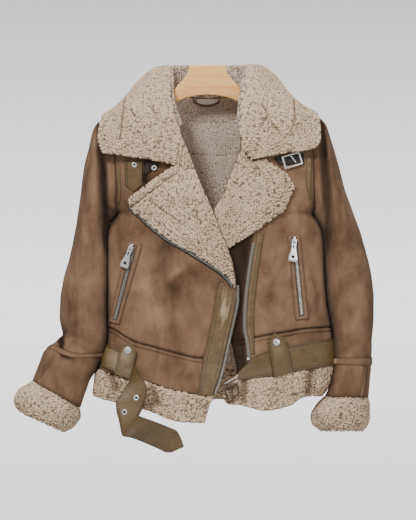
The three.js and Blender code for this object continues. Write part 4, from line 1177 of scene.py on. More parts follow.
class JacketPanels(Piece, bpy.types.Operator):
    """Suede fronts, back and hem panels with their fleece lining"""

    bl_idname = "jacket.panels"
    bl_label = "Suede panels"

    def build(self, scene):
        for face in ("right", "left", "back"):
            wide = 92 if face == "back" else 80
            front = "back" if face == "back" else "front_" + face
            suede_panel("suede_" + front, face, lambda x, f=face: WAIST[f](x) + SEAM / 2,
                        lambda x, f=face: TOP[f](x) - 0.3, wide, 136, 1.35, (front,))
            suede_panel("suede_hem_" + face, face, lambda x, f=face: HEM_SEAM[f](x) + SEAM / 2,
                        lambda x, f=face: WAIST[f](x) - SEAM / 2, wide, 48, 1.0, ("hem_panel_" + face,), 7.5)
            self.hem_fleece(face)

    def hem_fleece(self, face):
        """Fleece turned up below the hem seam"""
        def high(x):
            return HEM_SEAM[face](x) - SEAM / 2

        u, v, x, z = panel_places(face, HEM[face], high, 230 if face == "back" else 144, 40)
        puff = 1.6 * bell((high(x) - z - 9) / 8) - 0.8 * bell((high(x) - z) / 3)
        fold = near_lines(body(face, x, z), HEM_FOLDS[face])
        puff = puff - 3.0 * bell(fold / 8)
        outer, inner = panel_layers(face, u, v, x, z, [puff, puff * 0.4 - SHELL - 1.4])
        # The pile darkens along the folds as painted shade.
        piece = fleece_wall("fleece_hem_" + face, outer, inner, body_normal(face, x, z), 1.1, 1.0, 80,
                            crease=0.85 * bell(fold / 10), replaces=("hem_fleece_" + face,), bulge=0.9)
        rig.sheet(piece, held="hung", rests_on=["hanger"], **cut(outer))


class JacketSleeves(Piece, bpy.types.Operator):
    """Suede sleeves with fleece lining, and turned-back fleece cuffs"""

    bl_idname = "jacket.sleeves"
    bl_label = "Sleeves and cuffs"

    def build(self, scene):
        for side in ("right", "left"):
            self.sleeve(side)
            self.cuff(side)

    def sleeve(self, side):
        """Suede sleeve with its lining"""
        rows = np.interp(np.linspace(0, 1, 128), (0, 0.62, 0.86, 1), (0, 0.79, 0.92, 1))
        a, s = np.meshgrid(np.arange(96) / 96, rows, indexing="ij")
        n = arm_normal(side, a, s)
        base = arm(side, a, s)
        lift = arm_ripple(side, a, s)
        elbow = ELBOW[side][0]
        for line in (elbow, elbow + 0.03):
            lift = lift + stitch_line((s - line - seam_dip(side, a)) * SLEEVE_LONG, 1.6, 0.7)
        # Painted shade in the forearm's seam and at the sleeve's end by the cuff.
        mark = 0.5 * bell((s - elbow - seam_dip(side, a)) * SLEEVE_LONG / 1.8)
        mark = mark + 0.5 * bell((1 - s) * SLEEVE_LONG / 4)
        # Long seam on the inner side, with painted shade along it
        lift = lift - 0.8 * bell((a - 0.5) / 0.008)
        mark = mark + 0.6 * bell((a - 0.5) / 0.006)
        front = rise(0.0, 0.2, np.sin(2 * np.pi * a))
        z = base[..., 2]
        # Painted shade in the groove where the sleeve meets the body, and on the sleeve's inner side that leans on it.
        groove = bell((base[..., 0] - GROOVE[side](z)) / 8) * front * rise(0.02, 0.08, s)
        mark = mark + groove * rise(-360, -300, z) * {"right": 1.0, "left": 0.8}[side]
        inner_side = rise(-0.5, -0.97, np.cos(2 * np.pi * a)) ** 1.5 * front
        mark = mark + 0.95 * inner_side * np.clip(LEAN[side](z) / 7, 0, 1)
        mark = mark + nap_and_painted_marks(side + "_sleeve", base)
        if side == "left":
            for line in (0.115, 0.16):
                lift = lift - 0.5 * bell((a - line) / 0.006) * rise(0.88, 0.9, s)
                mark = mark + 0.5 * bell((a - line) / 0.006) * rise(0.88, 0.9, s)
        puff = 0.6 * swell(base, 20, 61)
        outer = base + n * lift[..., None]
        inner = base - n * (SHELL - 0.8 - puff)[..., None]
        piece = shell("suede_sleeve_" + side, outer, inner, ("suede", "fleece_lining"), closed=True,
                      mark=(np.clip(mark, -1, 1), np.ones_like(mark)), replaces=("sleeve_" + side,),
                      slot="suede")
        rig.sheet(piece, held="hung", rests_on=["hanger"], **cut(base, closed=True))

    def cuff(self, side):
        """Fleece turned back at the wrist"""
        a, s = np.meshgrid(np.arange(216) / 216, np.linspace(0, 1, 42), indexing="ij")
        rings = CUFFS[side]
        n = arm_normal(side, a, s, rings)
        wave = swell(np.stack([np.cos(2 * np.pi * a) * 30, np.sin(2 * np.pi * a) * 30, a * 0], -1), 14, 90)
        base = arm(side, a, s, rings) + n * (1.0 * wave * bell(s / 0.3) - 1.5 * bell(s / 0.09))[..., None]
        piece = fleece_wall("fleece_cuff_" + side, base, base - n * (FLEECE - 2), n, 1.05, 1.1, 84, closed=True,
                            replaces=("cuff_" + side,), bulge=0.9)
        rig.sheet(piece, held="folded", rests_on=["suede_sleeve_" + side], **cut(base, closed=True))


# Fold across the right lapel, seen from the front
LAPEL_FOLDS = [[(-104, -246), (-75, -265), (-48, -284)]]


class JacketLapels(Piece, bpy.types.Operator):
    """Turned-back fleece lapels"""

    bl_idname = "jacket.lapels"
    bl_label = "Lapels"

    def build(self, scene):
        for side in ("right", "left"):
            u, v = np.meshgrid(np.linspace(0.015, 1, 94), np.linspace(0, 0.97, 172), indexing="ij")
            place = lapel_place(side, u, v)
            x, z = place[..., 0], place[..., 1]
            n = body_normal(side, x, z)
            base = body(side, x, z)
            thick = 7.0 if side == "left" else FLEECE
            puff = 2 * np.sin(np.pi * u) * (1 - v)
            reach = np.linalg.norm(lapel_place(side, 1 + 0 * u, v) - place, axis=-1)
            down = np.linalg.norm(lapel_place(side, u, 0 * v) - place, axis=-1)
            line = -1.2 * bell((reach - 12) / 1.6)
            strip = 0.8 * bell((down - 7) / 7)
            # Painted shade in the creases beside the rolled strip and along the fold.
            crease = 0.35 * bell((reach - 12) / 1.4)
            if side == "right":
                fold = near_lines(base, LAPEL_FOLDS)
                line = line - 2.2 * bell((down - 14) / 1.8) - 1.8 * bell(fold / 1.8)
                strip = 2.2 * bell((down - 6) / 6)
                crease = crease + 0.85 * bell((down - 14) / 1.5) + 0.8 * bell(fold / 1.5)
            crease = np.clip(crease, 0, 1)
            outer = base + n * (0.8 + thick - 1 + puff / 2 + line + strip)[..., None]
            inner = base + n * (0.9 + puff * 0.3)[..., None]
            piece = fleece_wall("fleece_lapel_" + side, outer, inner, n, 1.0, 1.0, 72, crease=crease, far=0.15,
                                replaces=("lapel_" + side,), bulge=0.8)
            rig.sheet(piece, held="folded", rests_on=["suede_front_" + side], **cut(outer))


# Creases of the collar's fall, seen from the front
COLLAR_CREASES = [
    [(-147, -46), (-152, -94), (-157.5, -137)], [(-138, -82), (-131, -95)], [(-101, -78), (-97, -86), (-93, -90)],
    [(146.5, -45), (155.5, -65), (157.5, -101), (148.5, -125)], [(98, -74), (109, -92), (98, -110)],
    [(121, -112), (131, -124)],
]


class JacketCollar(Piece, bpy.types.Operator):
    """Wide fleece collar: the fall over the shoulders and the stand round the neck"""

    bl_idname = "jacket.collar"
    bl_label = "Collar"

    def build(self, scene):
        u, v = np.meshgrid(np.linspace(0, 1, 410), np.linspace(0, 1, 88), indexing="ij")
        p = collar_place(u, v)
        n = unit(np.cross(np.gradient(p, axis=0), np.gradient(p, axis=1)))
        n = n * np.where(np.mean(n[..., 2]) < 0, -1, 1)
        fold = near_lines(p, COLLAR_CREASES) + 1e3 * rise(0, 30, p[..., 1])
        from_rim = (1 - v) * 150
        line = 1.0 * bell((fold - 4.5) / 2.5) - 2.6 * bell(fold / 2.0) - 0.6 * bell((from_rim - 14) / 1.6)
        # Painted shade in the creases of the fall.
        crease = 0.9 * bell(fold / 1.6)
        thick = FLEECE / 2
        outer = p + n * (thick - 0.8 + line)[..., None]
        piece = fleece_wall("fleece_collar", outer, p - n * (thick - 1.2), n, 1.0, 1.1, 70, crease=crease, far=0.1,
                            replaces=("collar",), bulge=0.9)
        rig.sheet(piece, held="folded", rests_on=["suede_back"], **cut(p))
        u, v = np.meshgrid(np.linspace(0, 1, 200), np.linspace(0, 1, 36), indexing="ij")
        p = stand_place(u, v)
        n = unit(np.cross(np.gradient(p, axis=0), np.gradient(p, axis=1)))
        centre = p - np.array([0, -20, 0])
        n = n * np.where(np.sum(n * centre * [1, 1, 0], -1, keepdims=True) > 0, -1, 1)
        piece = fleece_wall("fleece_collar_stand", p + n * SHELL / 2, p - n * SHELL / 2, n, 1.0, 0.9, 74,
                            looks=("fleece_lining",), far=0.3, replaces=("collar_stand",), bulge=0.8)
        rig.sheet(piece, held="stretched", rests_on=["fleece_collar"], **cut(p))


def laid(name, face, place, counts, low, high, look="leather", lines=(), sag=0.0, shade=None, slot="leather",
         replaces=()):
    """A leather piece lying on the body's cloth; lines are sewn grooves at shares across it."""
    u, v = np.meshgrid(np.linspace(0, 1, counts[0]), np.linspace(0, 1, counts[1]), indexing="ij")
    x, z = place(u, v)
    n = body_normal(face, x, z)
    base = body(face, x, z) + n * ripple(face, x, z)[..., None]
    across = np.linalg.norm(base[-1] - base[0], axis=-1)[None]
    lift = sag * swell(base, 11, 40)
    edge = np.minimum(u, 1 - u) * across
    mark = 0.6 * bell(edge / 1.1) + (shade(u, v) if shade else 0.0)
    for share in lines:
        lift = lift + stitch_line((u - share) * across, 0.7, 0.5)
        mark = mark + 0.7 * bell((u - share) * across / 0.7)
    outer = base + n * (high - 0.25 + lift)[..., None]
    inner = base + n * np.asarray(low, float)[..., None]
    shell(name, outer, inner, (look,), mark=np.clip(mark, -1, 1), bulge=0.7, slot=slot, replaces=replaces)


def between(a, b, z0, z1):
    """Flat places between two lines given by height."""
    def place(u, v):
        z = mix(z0, z1, v)
        return mix(a(z), b(z), u), z

    return place


class JacketBands(Piece, bpy.types.Operator):
    """Leather bands of the front edges, armholes and forearms"""

    bl_idname = "jacket.bands"
    bl_label = "Leather bands"

    def build(self, scene):
        def placket(u, v):
            z = mix(-595, mix(-390, -416, u), v)
            return mix(BAND_RIGHT(z), EDGE_RIGHT(z) - 0.6, u), z

        # Marks of the right placket: a little darker all over, darker streaks lower down, and a painted highlight near
        # its top.
        def placket_tone_and_highlight(u, v):
            q = np.stack([u * 40, 0 * u, v * 200], -1)
            streak = rise(-0.1, 0.5, swell(q * [1, 1, 0.12], 3.2, 47))
            painted_highlight = 0.75 * bell((v - 0.8) / 0.17) * bell((u - 0.45) / 0.4) * (0.15 + 0.85 * streak)
            return 0.12 - painted_highlight + 0.2 * streak * rise(0.7, 0.4, v)

        laid("leather_placket_right", "right", placket, (36, 150), 1.0, 2.8, lines=(0.08, 0.2, 0.84), sag=0.5,
             shade=placket_tone_and_highlight, replaces=("placket_right",))
        laid("leather_placket_left", "left",
             between(lambda z: ZIP_LEFT(z) + 4, lambda z: BAND_LEFT(z) + 1, -522, -305),
             (16, 120), 0.8, 2.6, lines=(0.5, 0.78), sag=0.25, replaces=("placket_left",))
        laid("leather_armhole_right", "right", between(lambda z: TAPE_RIGHT(z) - 4, TAPE_RIGHT, -250, -176),
             (8, 50), 0.5, 2.0, replaces=("armhole_tape_right",))
        laid("leather_armhole_left", "left",
             between(TAPE_LEFT, lambda z: TAPE_LEFT(z) + mix(3, 8, rise(-255, -190, z)), -254, -170),
             (10, 60), 0.5, 2.0, replaces=("armhole_tape_left",))
        for side, look, lift in (("right", "suede", 0.7), ("left", "band_suede", 1.3)):
            upper, lower = ELBOW[side]
            a, share = np.meshgrid(np.arange(100) / 100, np.linspace(0, 1, 14), indexing="ij")
            s = mix(upper, lower, share) + seam_dip(side, a)
            n = arm_normal(side, a, s)
            base = arm(side, a, s) + n * arm_ripple(side, a, s)[..., None]
            edge = bell(share / 0.12) * 0.6 + bell((1 - share) / 0.12) * 0.35
            if side == "left":
                edge = edge - 0.55 * bell((a - 0.41) / 0.022) + 0.5 * bell((a - 0.385) / 0.006)
            crown = lift + 0.25 * np.sin(np.pi * share)
            shell("leather_band_" + side, base + n * crown[..., None], base - n * 0.3, (look,), closed=True,
                  mark=edge, replaces=("sleeve_band_" + side,), slot="leather")


def blocks(name, centres, along, across, out, sizes, node):
    """Many small bars as one piece: sizes are half lengths along, across and out."""
    corners = []
    for i in (-1, 1):
        for j in (-1, 1):
            for k in (-1, 1):
                taper = 0.75 if k > 0 else 1.0
                corner = centres + along * (i * sizes[0] * taper)
                corner = corner + across * (j * sizes[1] * taper)
                corners.append(corner + out * (k * sizes[2]))
    points = np.stack(corners, 1).reshape(-1, 3)
    one = np.array([[0, 1, 3, 2], [4, 6, 7, 5], [0, 4, 5, 1], [2, 3, 7, 6], [0, 2, 6, 4], [1, 5, 7, 3]])
    faces = (one[None] + 8 * np.arange(len(centres))[:, None, None]).reshape(-1, 4)
    put(name, points, faces, ("teeth",), replaces=(node,), slot="metal", smooth=False)


# From one tooth of the front zip to the next
PITCH = 2.3


def even(points, pitch):
    """Points at an even pitch along a line, and the directions there."""
    d = np.concatenate([[0], np.cumsum(np.linalg.norm(np.diff(points, axis=0), axis=-1))])
    at = np.arange(pitch / 2, d[-1], pitch)
    p = np.stack([np.interp(at, d, points[:, k]) for k in range(3)], -1)
    return p, unit(np.gradient(p, axis=0))


def zip_row(name, face, x, z, lift, width, node, pitch=PITCH, stagger=0.35):
    """One row of zip teeth over the line of flat places x, z."""
    n = body_normal(face, x, z)
    line = body(face, x, z) + n * (lift + ripple(face, x, z))[..., None]
    p, along = even(line, pitch)
    here, there = np.linspace(0, 1, len(p)), np.linspace(0, 1, len(n))
    out = unit(np.stack([np.interp(here, there, n[:, k]) for k in range(3)], -1))
    across = unit(np.cross(out, along))
    out = np.cross(along, across)
    turn = np.where(np.arange(len(p)) % 2 == 0, 1, -1)[:, None] * stagger
    blocks(name, p + across * turn, along, across, out, (pitch * 0.3, width / 2, 0.75), node)


def strip_tape(name, face, x, z, lift, wide, look="tape"):
    """Woven tape beside a zip: a thin strip along the line, from one distance off it to another."""
    t = np.stack([x, z], -1)
    d = unit(np.gradient(t, axis=0))
    off = np.stack([d[:, 1], -d[:, 0]], -1)
    share = np.linspace(0, 1, 5)[:, None, None]
    flat = t[None] + off[None] * (share * wide[1] + (1 - share) * wide[0])
    px, pz = flat[..., 0], flat[..., 1]
    n = body_normal(face, px, pz)
    base = body(face, px, pz) + n * ripple(face, px, pz)[..., None]
    shell(name, base + n * (lift + 0.8), base + n * lift, (look,), slot="leather", steps=1)


class JacketZips(Piece, bpy.types.Operator):
    """Open zip of the front: teeth and tape on both edges"""

    bl_idname = "jacket.zips"
    bl_label = "Front zips"

    def build(self, scene):
        t = np.linspace(0.09, 0.99, 170)
        p = lapel_place("right", np.ones_like(t), 0.97 * t)
        q = lapel_place("right", np.ones_like(t), 0.97 * np.minimum(t + 0.02, 1))
        d = unit(q - p)
        off = np.stack([d[:, 1], -d[:, 0]], -1)
        mid = p + off * 4.2
        zip_row("zip_teeth_lapel", "right", mid[:, 0], mid[:, 1], 3.2, 3.4, "zip_lapel")
        edge = p + off * 2.6
        strip_tape("zip_tape_lapel", "right", edge[:, 0], edge[:, 1], 1.2, (-2.8, 4.8), "strap_dark")
        z = np.linspace(-594, -399, 156)
        x = EDGE_RIGHT(z)
        n = body_normal("right", x, z)
        line = body("right", x, z) + n * (ripple("right", x, z) - 1.4)[..., None]
        p, along = even(line + np.array([3.6, 0, 0]), PITCH)
        out = np.stack([np.interp(p[:, 2], z, n[:, k]) for k in range(3)], -1)
        across = unit(np.cross(out, along))
        blocks("zip_teeth_right", p, along, across, np.cross(along, across), (0.75, 2.5, 0.9), "zip_right")
        tape = np.stack([line + np.array([k, 0, 0]) for k in (0.4, 1.6, 2.8)])
        shell("zip_tape_right", tape, tape - n[None] * 0.9, ("tape",), slot="leather", steps=1)
        z = np.linspace(-528, -322, 160)
        x = ZIP_LEFT(z)
        zip_row("zip_teeth_left", "left", x - 0.6, z, 2.4, 4.4, "zip_left")
        strip_tape("zip_tape_left", "left", x, z, 0.6, (-2.4, 3.0))


# Ends of each pocket's opening, and its frame's width at both
POCKETS = {
    "right": {"top": (-130, -322), "foot": (-168, -466), "wide": (26, 19)},
    "left": {"top": (155, -308), "foot": (170, -459), "wide": (21, 23)},
}


def pocket_lane(side):
    """Flat places on a pocket, from -1 to 1 across its frame and 0 to 1 down it, and its length."""
    k = POCKETS[side]
    top, foot = np.array(k["top"], float), np.array(k["foot"], float)
    along = unit(foot - top)
    across = np.array([-along[1], along[0]])
    length = np.linalg.norm(foot - top)

    def place(lane, v):
        w = lane * mix(k["wide"][0], k["wide"][1], v) * 0.5
        flat = top + along * (length * v)[..., None] + across * w[..., None]
        return flat[..., 0], flat[..., 1]

    return place, length


class JacketPockets(Piece, bpy.types.Operator):
    """Pocket frames of folded suede and leather, with their closed zips"""

    bl_idname = "jacket.pockets"
    bl_label = "Pockets"

    def build(self, scene):
        for side in POCKETS:
            place, length = pocket_lane(side)
            u, v = np.meshgrid(np.linspace(-1, 1, 41), np.linspace(0, 1, 104), indexing="ij")
            x, z = place(u, v)
            n = body_normal(side, x, z)
            base = body(side, x, z) + n * ripple(side, x, z)[..., None]
            near_end = np.minimum(v, 1 - v) * length
            a = np.abs(u)
            slot_depth = rise(0.46, 0.34, a) * rise(3.0, 6.5, near_end)
            frame_lift = 2.5 + 0.5 * np.sin(np.pi * np.clip((a - 0.36) / 0.64, 0, 1)) - 1.5 * slot_depth
            frame_lift = frame_lift - 0.6 * bell((a - 0.84) / 0.045) - 0.5 * bell((near_end - 2.4) / 0.8)
            # Painted shade in the slot, and darker lines at the frame's stitches and edges.
            mark = 0.7 * slot_depth + 0.6 * bell((a - 0.84) / 0.05) + 0.65 * bell((1 - a) / 0.06)
            mark = mark + 0.5 * bell(near_end / 1.2) + 0.4 * bell((a - 0.5) / 0.05)
            shell("pocket_frame_" + side, base + n * frame_lift[..., None], base + n * 0.6, ("pocket",),
                  mark=np.clip(mark, 0, 1), replaces=("pocket_welt_" + side,), slot="leather")
            t = np.linspace(0.05, 0.95, 120)
            x, z = place(np.zeros_like(t), t)
            zip_row("pocket_teeth_" + side, side, x, z, 2.7, 6.0, "pocket_zip_" + side, pitch=2.0, stagger=0.4)


# Middle line of the belt by x
BELT_HEIGHT = {
    "right": track([(-198, -519), (-176, -529), (-157, -538), (-130, -543)]),
    "left": track([(110, -536), (149, -531), (186, -524.5), (228, -518)]),
}
LOOPS = {
    "right": {
        "foot": [(-165, -559), (-138.5, -568)], "shoulder": [(-155, -510), (-126.5, -518)], "tip": (-137, -500.5),
    },
    "left": {
        "foot": [(119.7, -564), (153, -554)], "shoulder": [(109, -501), (140.5, -496)], "tip": (120, -484.5),
    },
}
# The belt's free end: both its edges, from the loop down
TAIL = [
    ((-137, -55.5, -564), (-131, -56.5, -541)), ((-140, -66, -571), (-119, -80, -562)),
    ((-146, -74, -580), (-110, -90, -583)), ((-156, -79, -597), (-110, -91, -595)),
    ((-164, -82, -610), (-115, -90, -610)), ((-163, -84, -623), (-118, -88, -621)),
    ((-158, -85, -643), (-121.5, -86, -628)), ((-152, -85, -668), (-124, -84, -632)),
    ((-138, -88, -671), (-101, -82, -641)), ((-116, -87, -679), (-85.5, -80, -647)),
    ((-86, -84, -692), (-71, -78, -653)), ((-74, -83, -697.5), (-56, -78, -660)),
    ((-65, -82, -698), (-49, -79, -671)), ((-56, -81, -694), (-43, -80, -688)),
]
TAIL_EYELETS = [(-128, -599.8), (-148.9, -625.9)]


def recess(name, top, low, top_middle, low_middle, body_name="jacket"):
    """A dark opening: a plug between two rims, closed by fans from their middles, near-black as painted shade inside
    the hole.
    """
    count = len(top)
    faces = []
    for i in range(count):
        j = (i + 1) % count
        faces += [(2 * count, i, j), (2 * count + 1, count + j, count + i), (i, count + i, count + j, j)]
    points = np.concatenate([top, low, [top_middle], [low_middle]])
    put(name, points, faces, ("pit",), body_name=body_name, slot="metal")


def ring(name, centre, out, radius, hole, thick, replaces=()):
    """A pressed eyelet: a rounded ring round a dark hole, near-black as painted shade."""
    turns, sides = 40, 12
    out = unit(np.asarray(out, float))
    right = unit(np.cross(out, [0, 0, 1.0]))
    up = np.cross(right, out)
    a, b = np.meshgrid(np.arange(turns) / turns * 2 * np.pi, np.arange(sides) / sides * 2 * np.pi, indexing="ij")
    mid, half = (radius + hole) / 2, (radius - hole) / 2
    r = mid + half * np.cos(b)
    h = thick * (0.2 + 0.8 * np.sin(b))
    round_ = np.cos(a)[..., None] * right + np.sin(a)[..., None] * up
    points = centre + r[..., None] * round_ + h[..., None] * out
    ids = np.arange(turns * sides).reshape(turns, sides)
    ids = np.vstack([ids, ids[:1]])
    ids = np.hstack([ids, ids[:, :1]])
    faces = np.stack([ids[:-1, :-1], ids[1:, :-1], ids[1:, 1:], ids[:-1, 1:]], -1).reshape(-1, 4)
    put(name, points.reshape(-1, 3), faces, ("metal",), replaces=replaces, slot="metal")
    t = np.arange(20) / 20 * 2 * np.pi
    rim = centre + hole * 1.15 * (np.cos(t)[:, None] * right + np.sin(t)[:, None] * up)
    recess(name + "_hole", rim + out * 0.25, rim - out * 0.35, centre + out * 0.1, centre - out * 0.35)


class JacketBelt(Piece, bpy.types.Operator):
    """Leather belt round the hem, its loops, and the free end hanging twisted"""

    bl_idname = "jacket.belt"
    bl_label = "Belt"

    def build(self, scene):
        def right(u, v):
            x = mix(-188.5, -141, 1 - np.cos(np.pi * v / 2))
            z = BELT_HEIGHT["right"](x) + mix(-0.5, 0.5, u) * mix(41, 44, v)
            return np.maximum(x, SIDE(z)[..., 0] + 0.2), z

        def left(u, v):
            x = mix(225, 128, 1 - np.cos(np.pi * v / 2))
            z = BELT_HEIGHT["left"](x) + mix(-0.5, 0.5, u) * 47
            return np.minimum(x, SIDE(z)[..., 1] - 0.2), z

        def back(u, v):
            w = (1 - np.cos(np.pi * v)) / 2
            x = mix(-187, 225, w)
            z = mix(-519, -518, w) + mix(-0.5, 0.5, u) * mix(41, 47, w)
            side = SIDE(z)
            return np.clip(x, side[..., 0] + 0.2, side[..., 1] - 0.2), z

        def lead(u, v):
            top = curve([(112, -516), (86, -526), (68, -543), (55, -556)])(v)
            foot = curve([(118, -562), (86, -565), (68, -567), (56, -569)])(v)
            flat = mix(foot, top, u[..., None])
            return flat[..., 0], flat[..., 1]

        # Painted shade towards the belt's end at the side seam, and a painted highlight towards the loop.
        def painted_light(u, v):
            painted_highlight = 0.26 * bell((v - 0.7) / 0.4) * (0.6 + 0.4 * bell((u - 0.6) / 0.3))
            return 0.3 * bell(v / 0.25) - painted_highlight

        strap = {"lines": (0.07, 0.93), "look": "strap", "slot": "strap"}
        laid("belt_leather_right", "right", right, (36, 50), 1.3, 4.3, sag=0.25, shade=painted_light,
             replaces=("belt_right",), **strap)
        laid("belt_leather_left", "left", left, (30, 70), 1.3, 4.3, sag=0.25, replaces=("belt_left",), **strap)
        laid("belt_leather_back", "back", back, (22, 150), 1.3, 4.3, sag=0.25, replaces=("belt_back",), **strap)
        laid("belt_leather_lead", "left", lead, (30, 60), 1.1, 3.7, replaces=("belt_lead",), **strap)
        for side, k in LOOPS.items():
            def tab(u, v, k=k):
                lower = mix(np.array(k["foot"][0]), np.array(k["foot"][1]), u[..., None])
                upper = mix(np.array(k["shoulder"][0]), np.array(k["shoulder"][1]), u[..., None])
                middle = (np.array(k["shoulder"][0]) + np.array(k["shoulder"][1])) / 2
                peak = (1 - np.abs(2 * u - 1))[..., None]
                tip = upper + (np.array(k["tip"]) - middle) * peak
                v = v[..., None]
                flat = np.where(v < 0.75, mix(lower, upper, v / 0.75), mix(upper, tip, (v - 0.75) / 0.25))
                return flat[..., 0], flat[..., 1]

            # Painted highlight on the loops' upper part, stronger on the right one.
            glow = {"right": 0.34, "left": 0.14}[side]
            laid("belt_tab_" + side, side, tab, (26, 50), 5.1, 7.3, lines=(0.1, 0.9), sag=0.35,
                 shade=lambda u, v, glow=glow: -glow * bell((v - 0.58) / 0.22) * bell((u - 0.4) / 0.35),
                 replaces=("belt_loop_" + side,), look="strap", slot="strap")
        self.tail()

    def tail(self):
        """Free end, hanging twisted from the right loop, with its eyelets"""
        u, v = np.meshgrid(np.linspace(0, 1, 24), np.linspace(0, 1, 170), indexing="ij")
        a, b = curve([r[0] for r in TAIL])(v), curve([r[1] for r in TAIL])(v)
        p = mix(a, b, u[..., None])
        n = unit(np.cross(np.gradient(p, axis=0), np.gradient(p, axis=1)))
        n = n * np.where(np.mean(n[..., 1]) > 0, -1, 1)
        across = np.linalg.norm(b - a, axis=-1)
        edge = np.minimum(u, 1 - u) * across
        lift = stitch_line(edge - 3, 0.7, 0.45) + 0.2 * swell(p, 12, 41)
        mark = 0.6 * bell(edge / 1.1) + 0.5 * bell((edge - 3) / 0.8)
        # Painted shade along the fold; the strap is also a little lighter above the fold and darker below it.
        mark = mark + 0.6 * bell((v - 0.63) / 0.07) * bell(u / 0.9)
        mark = mark - 0.14 * bell((v - 0.4) / 0.12) + 0.2 * rise(0.64, 0.7, v) * rise(1.0, 0.8, v)
        piece = shell("belt_leather_tail", p + n * (1.5 + lift)[..., None], p - n * 1.5, ("strap", "strap"),
                      mark=np.clip(mark, -1, 1), replaces=("belt_tail",), slot="strap")
        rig.sheet(piece, held="hung", rests_on=["belt_tab_right"], **cut(p))
        for i, (x, z) in enumerate(TAIL_EYELETS):
            d = (p[..., 0] - x) ** 2 + (p[..., 2] - z) ** 2
            j = np.unravel_index(np.argmin(d), d.shape)
            ring("belt_eyelet_%d" % (i + 1), p[j] + n[j] * 1.7, n[j], 5.0, 2.2, 1.0)


def flat_patch(a, b, c, d):
    """Flat places in a patch with four corners."""
    a, b, c, d = (np.array(k, float) for k in (a, b, c, d))

    def place(u, v):
        flat = mix(mix(a, b, u[..., None]), mix(d, c, u[..., None]), v[..., None])
        return flat[..., 0], flat[..., 1]

    return place


class JacketThroat(Piece, bpy.types.Operator):
    """Throat tab, straps and eyelets under the collar"""

    bl_idname = "jacket.throat"
    bl_label = "Throat straps"

    def build(self, scene):
        def tab(u, v):
            tip = mix(-229, -217.5, np.abs(2 * u - 1))
            return mix(-147, -118, u), mix(tip, -176, v)

        laid("throat_tab_leather", "right", tab, (28, 40), 0.6, 3.4, look="strap", lines=(0.1, 0.9),
             slot="strap", replaces=("throat_tab",))
        # The throat straps take the strap leather darkened as painted shade under the collar.
        laid("throat_strap_right_leather", "right",
             flat_patch((-112, -199), (-88, -184), (-88, -174), (-112, -174)),
             (20, 16), 0.6, 3.2, look="strap_dark", replaces=("throat_strap_right",))
        laid("throat_strap_left_leather", "left", flat_patch((128, -181), (173, -181), (173, -162), (120, -169)),
             (30, 16), 0.6, 2.6, look="strap_dark", replaces=("throat_strap_left",))
        for node, x, z in (("eyelet_tab", -131.5, -181.5), ("eyelet_strap", -96, -187)):
            xx, zz = np.array(x), np.array(z)
            n = body_normal("right", xx, zz)
            ring(node + "_ring", body("right", xx, zz) + n * 3.9, n, 4.8, 2.1, 1.0, replaces=(node,))


# Faces that turn by less than FLAT are joined, and edges that turn by more than SHARP are rounded
FLAT, SHARP = math.radians(1), math.radians(25)
# Openings of a pull: place along it and half length, half width, share of the half length cut off straight
PULL_CUTS = {"slot": (-0.16, 4.0, 1.2, 0.0), "eye": (0.31, 2.9, 3.0, 0.75)}


def rounded(node, name, width, segments, look, slot, body_name="jacket"):
    """A copy of a hard CAD node with rounded edges."""
    mesh = frame["nodes"][node].data.copy()
    mesh.name = name
    mesh.materials.clear()
    mesh.materials.append(finish(look))
    bm = bmesh.new()
    bm.from_mesh(mesh)
    bmesh.ops.remove_doubles(bm, verts=bm.verts, dist=1e-6)
    bmesh.ops.dissolve_limit(bm, angle_limit=FLAT, verts=bm.verts, edges=bm.edges)
    sharp = [e for e in bm.edges if len(e.link_faces) == 2 and e.calc_face_angle(0) > SHARP]
    bmesh.ops.bevel(bm, geom=sharp, offset=width * MM, segments=segments, profile=0.5, affect="EDGES",
                    clamp_overlap=True)
    bmesh.ops.triangulate(bm, faces=[f for f in bm.faces if len(f.verts) > 4])
    for f in bm.faces:
        f.smooth = True
        f.material_index = 0
    bm.to_mesh(mesh)
    bm.free()
    piece = bpy.data.objects.new(name, mesh)
    bpy.context.scene.collection.objects.link(piece)
    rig.ride(piece, body_name)
    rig.replaces(piece, node)
    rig.slot(piece, slot)
    return piece


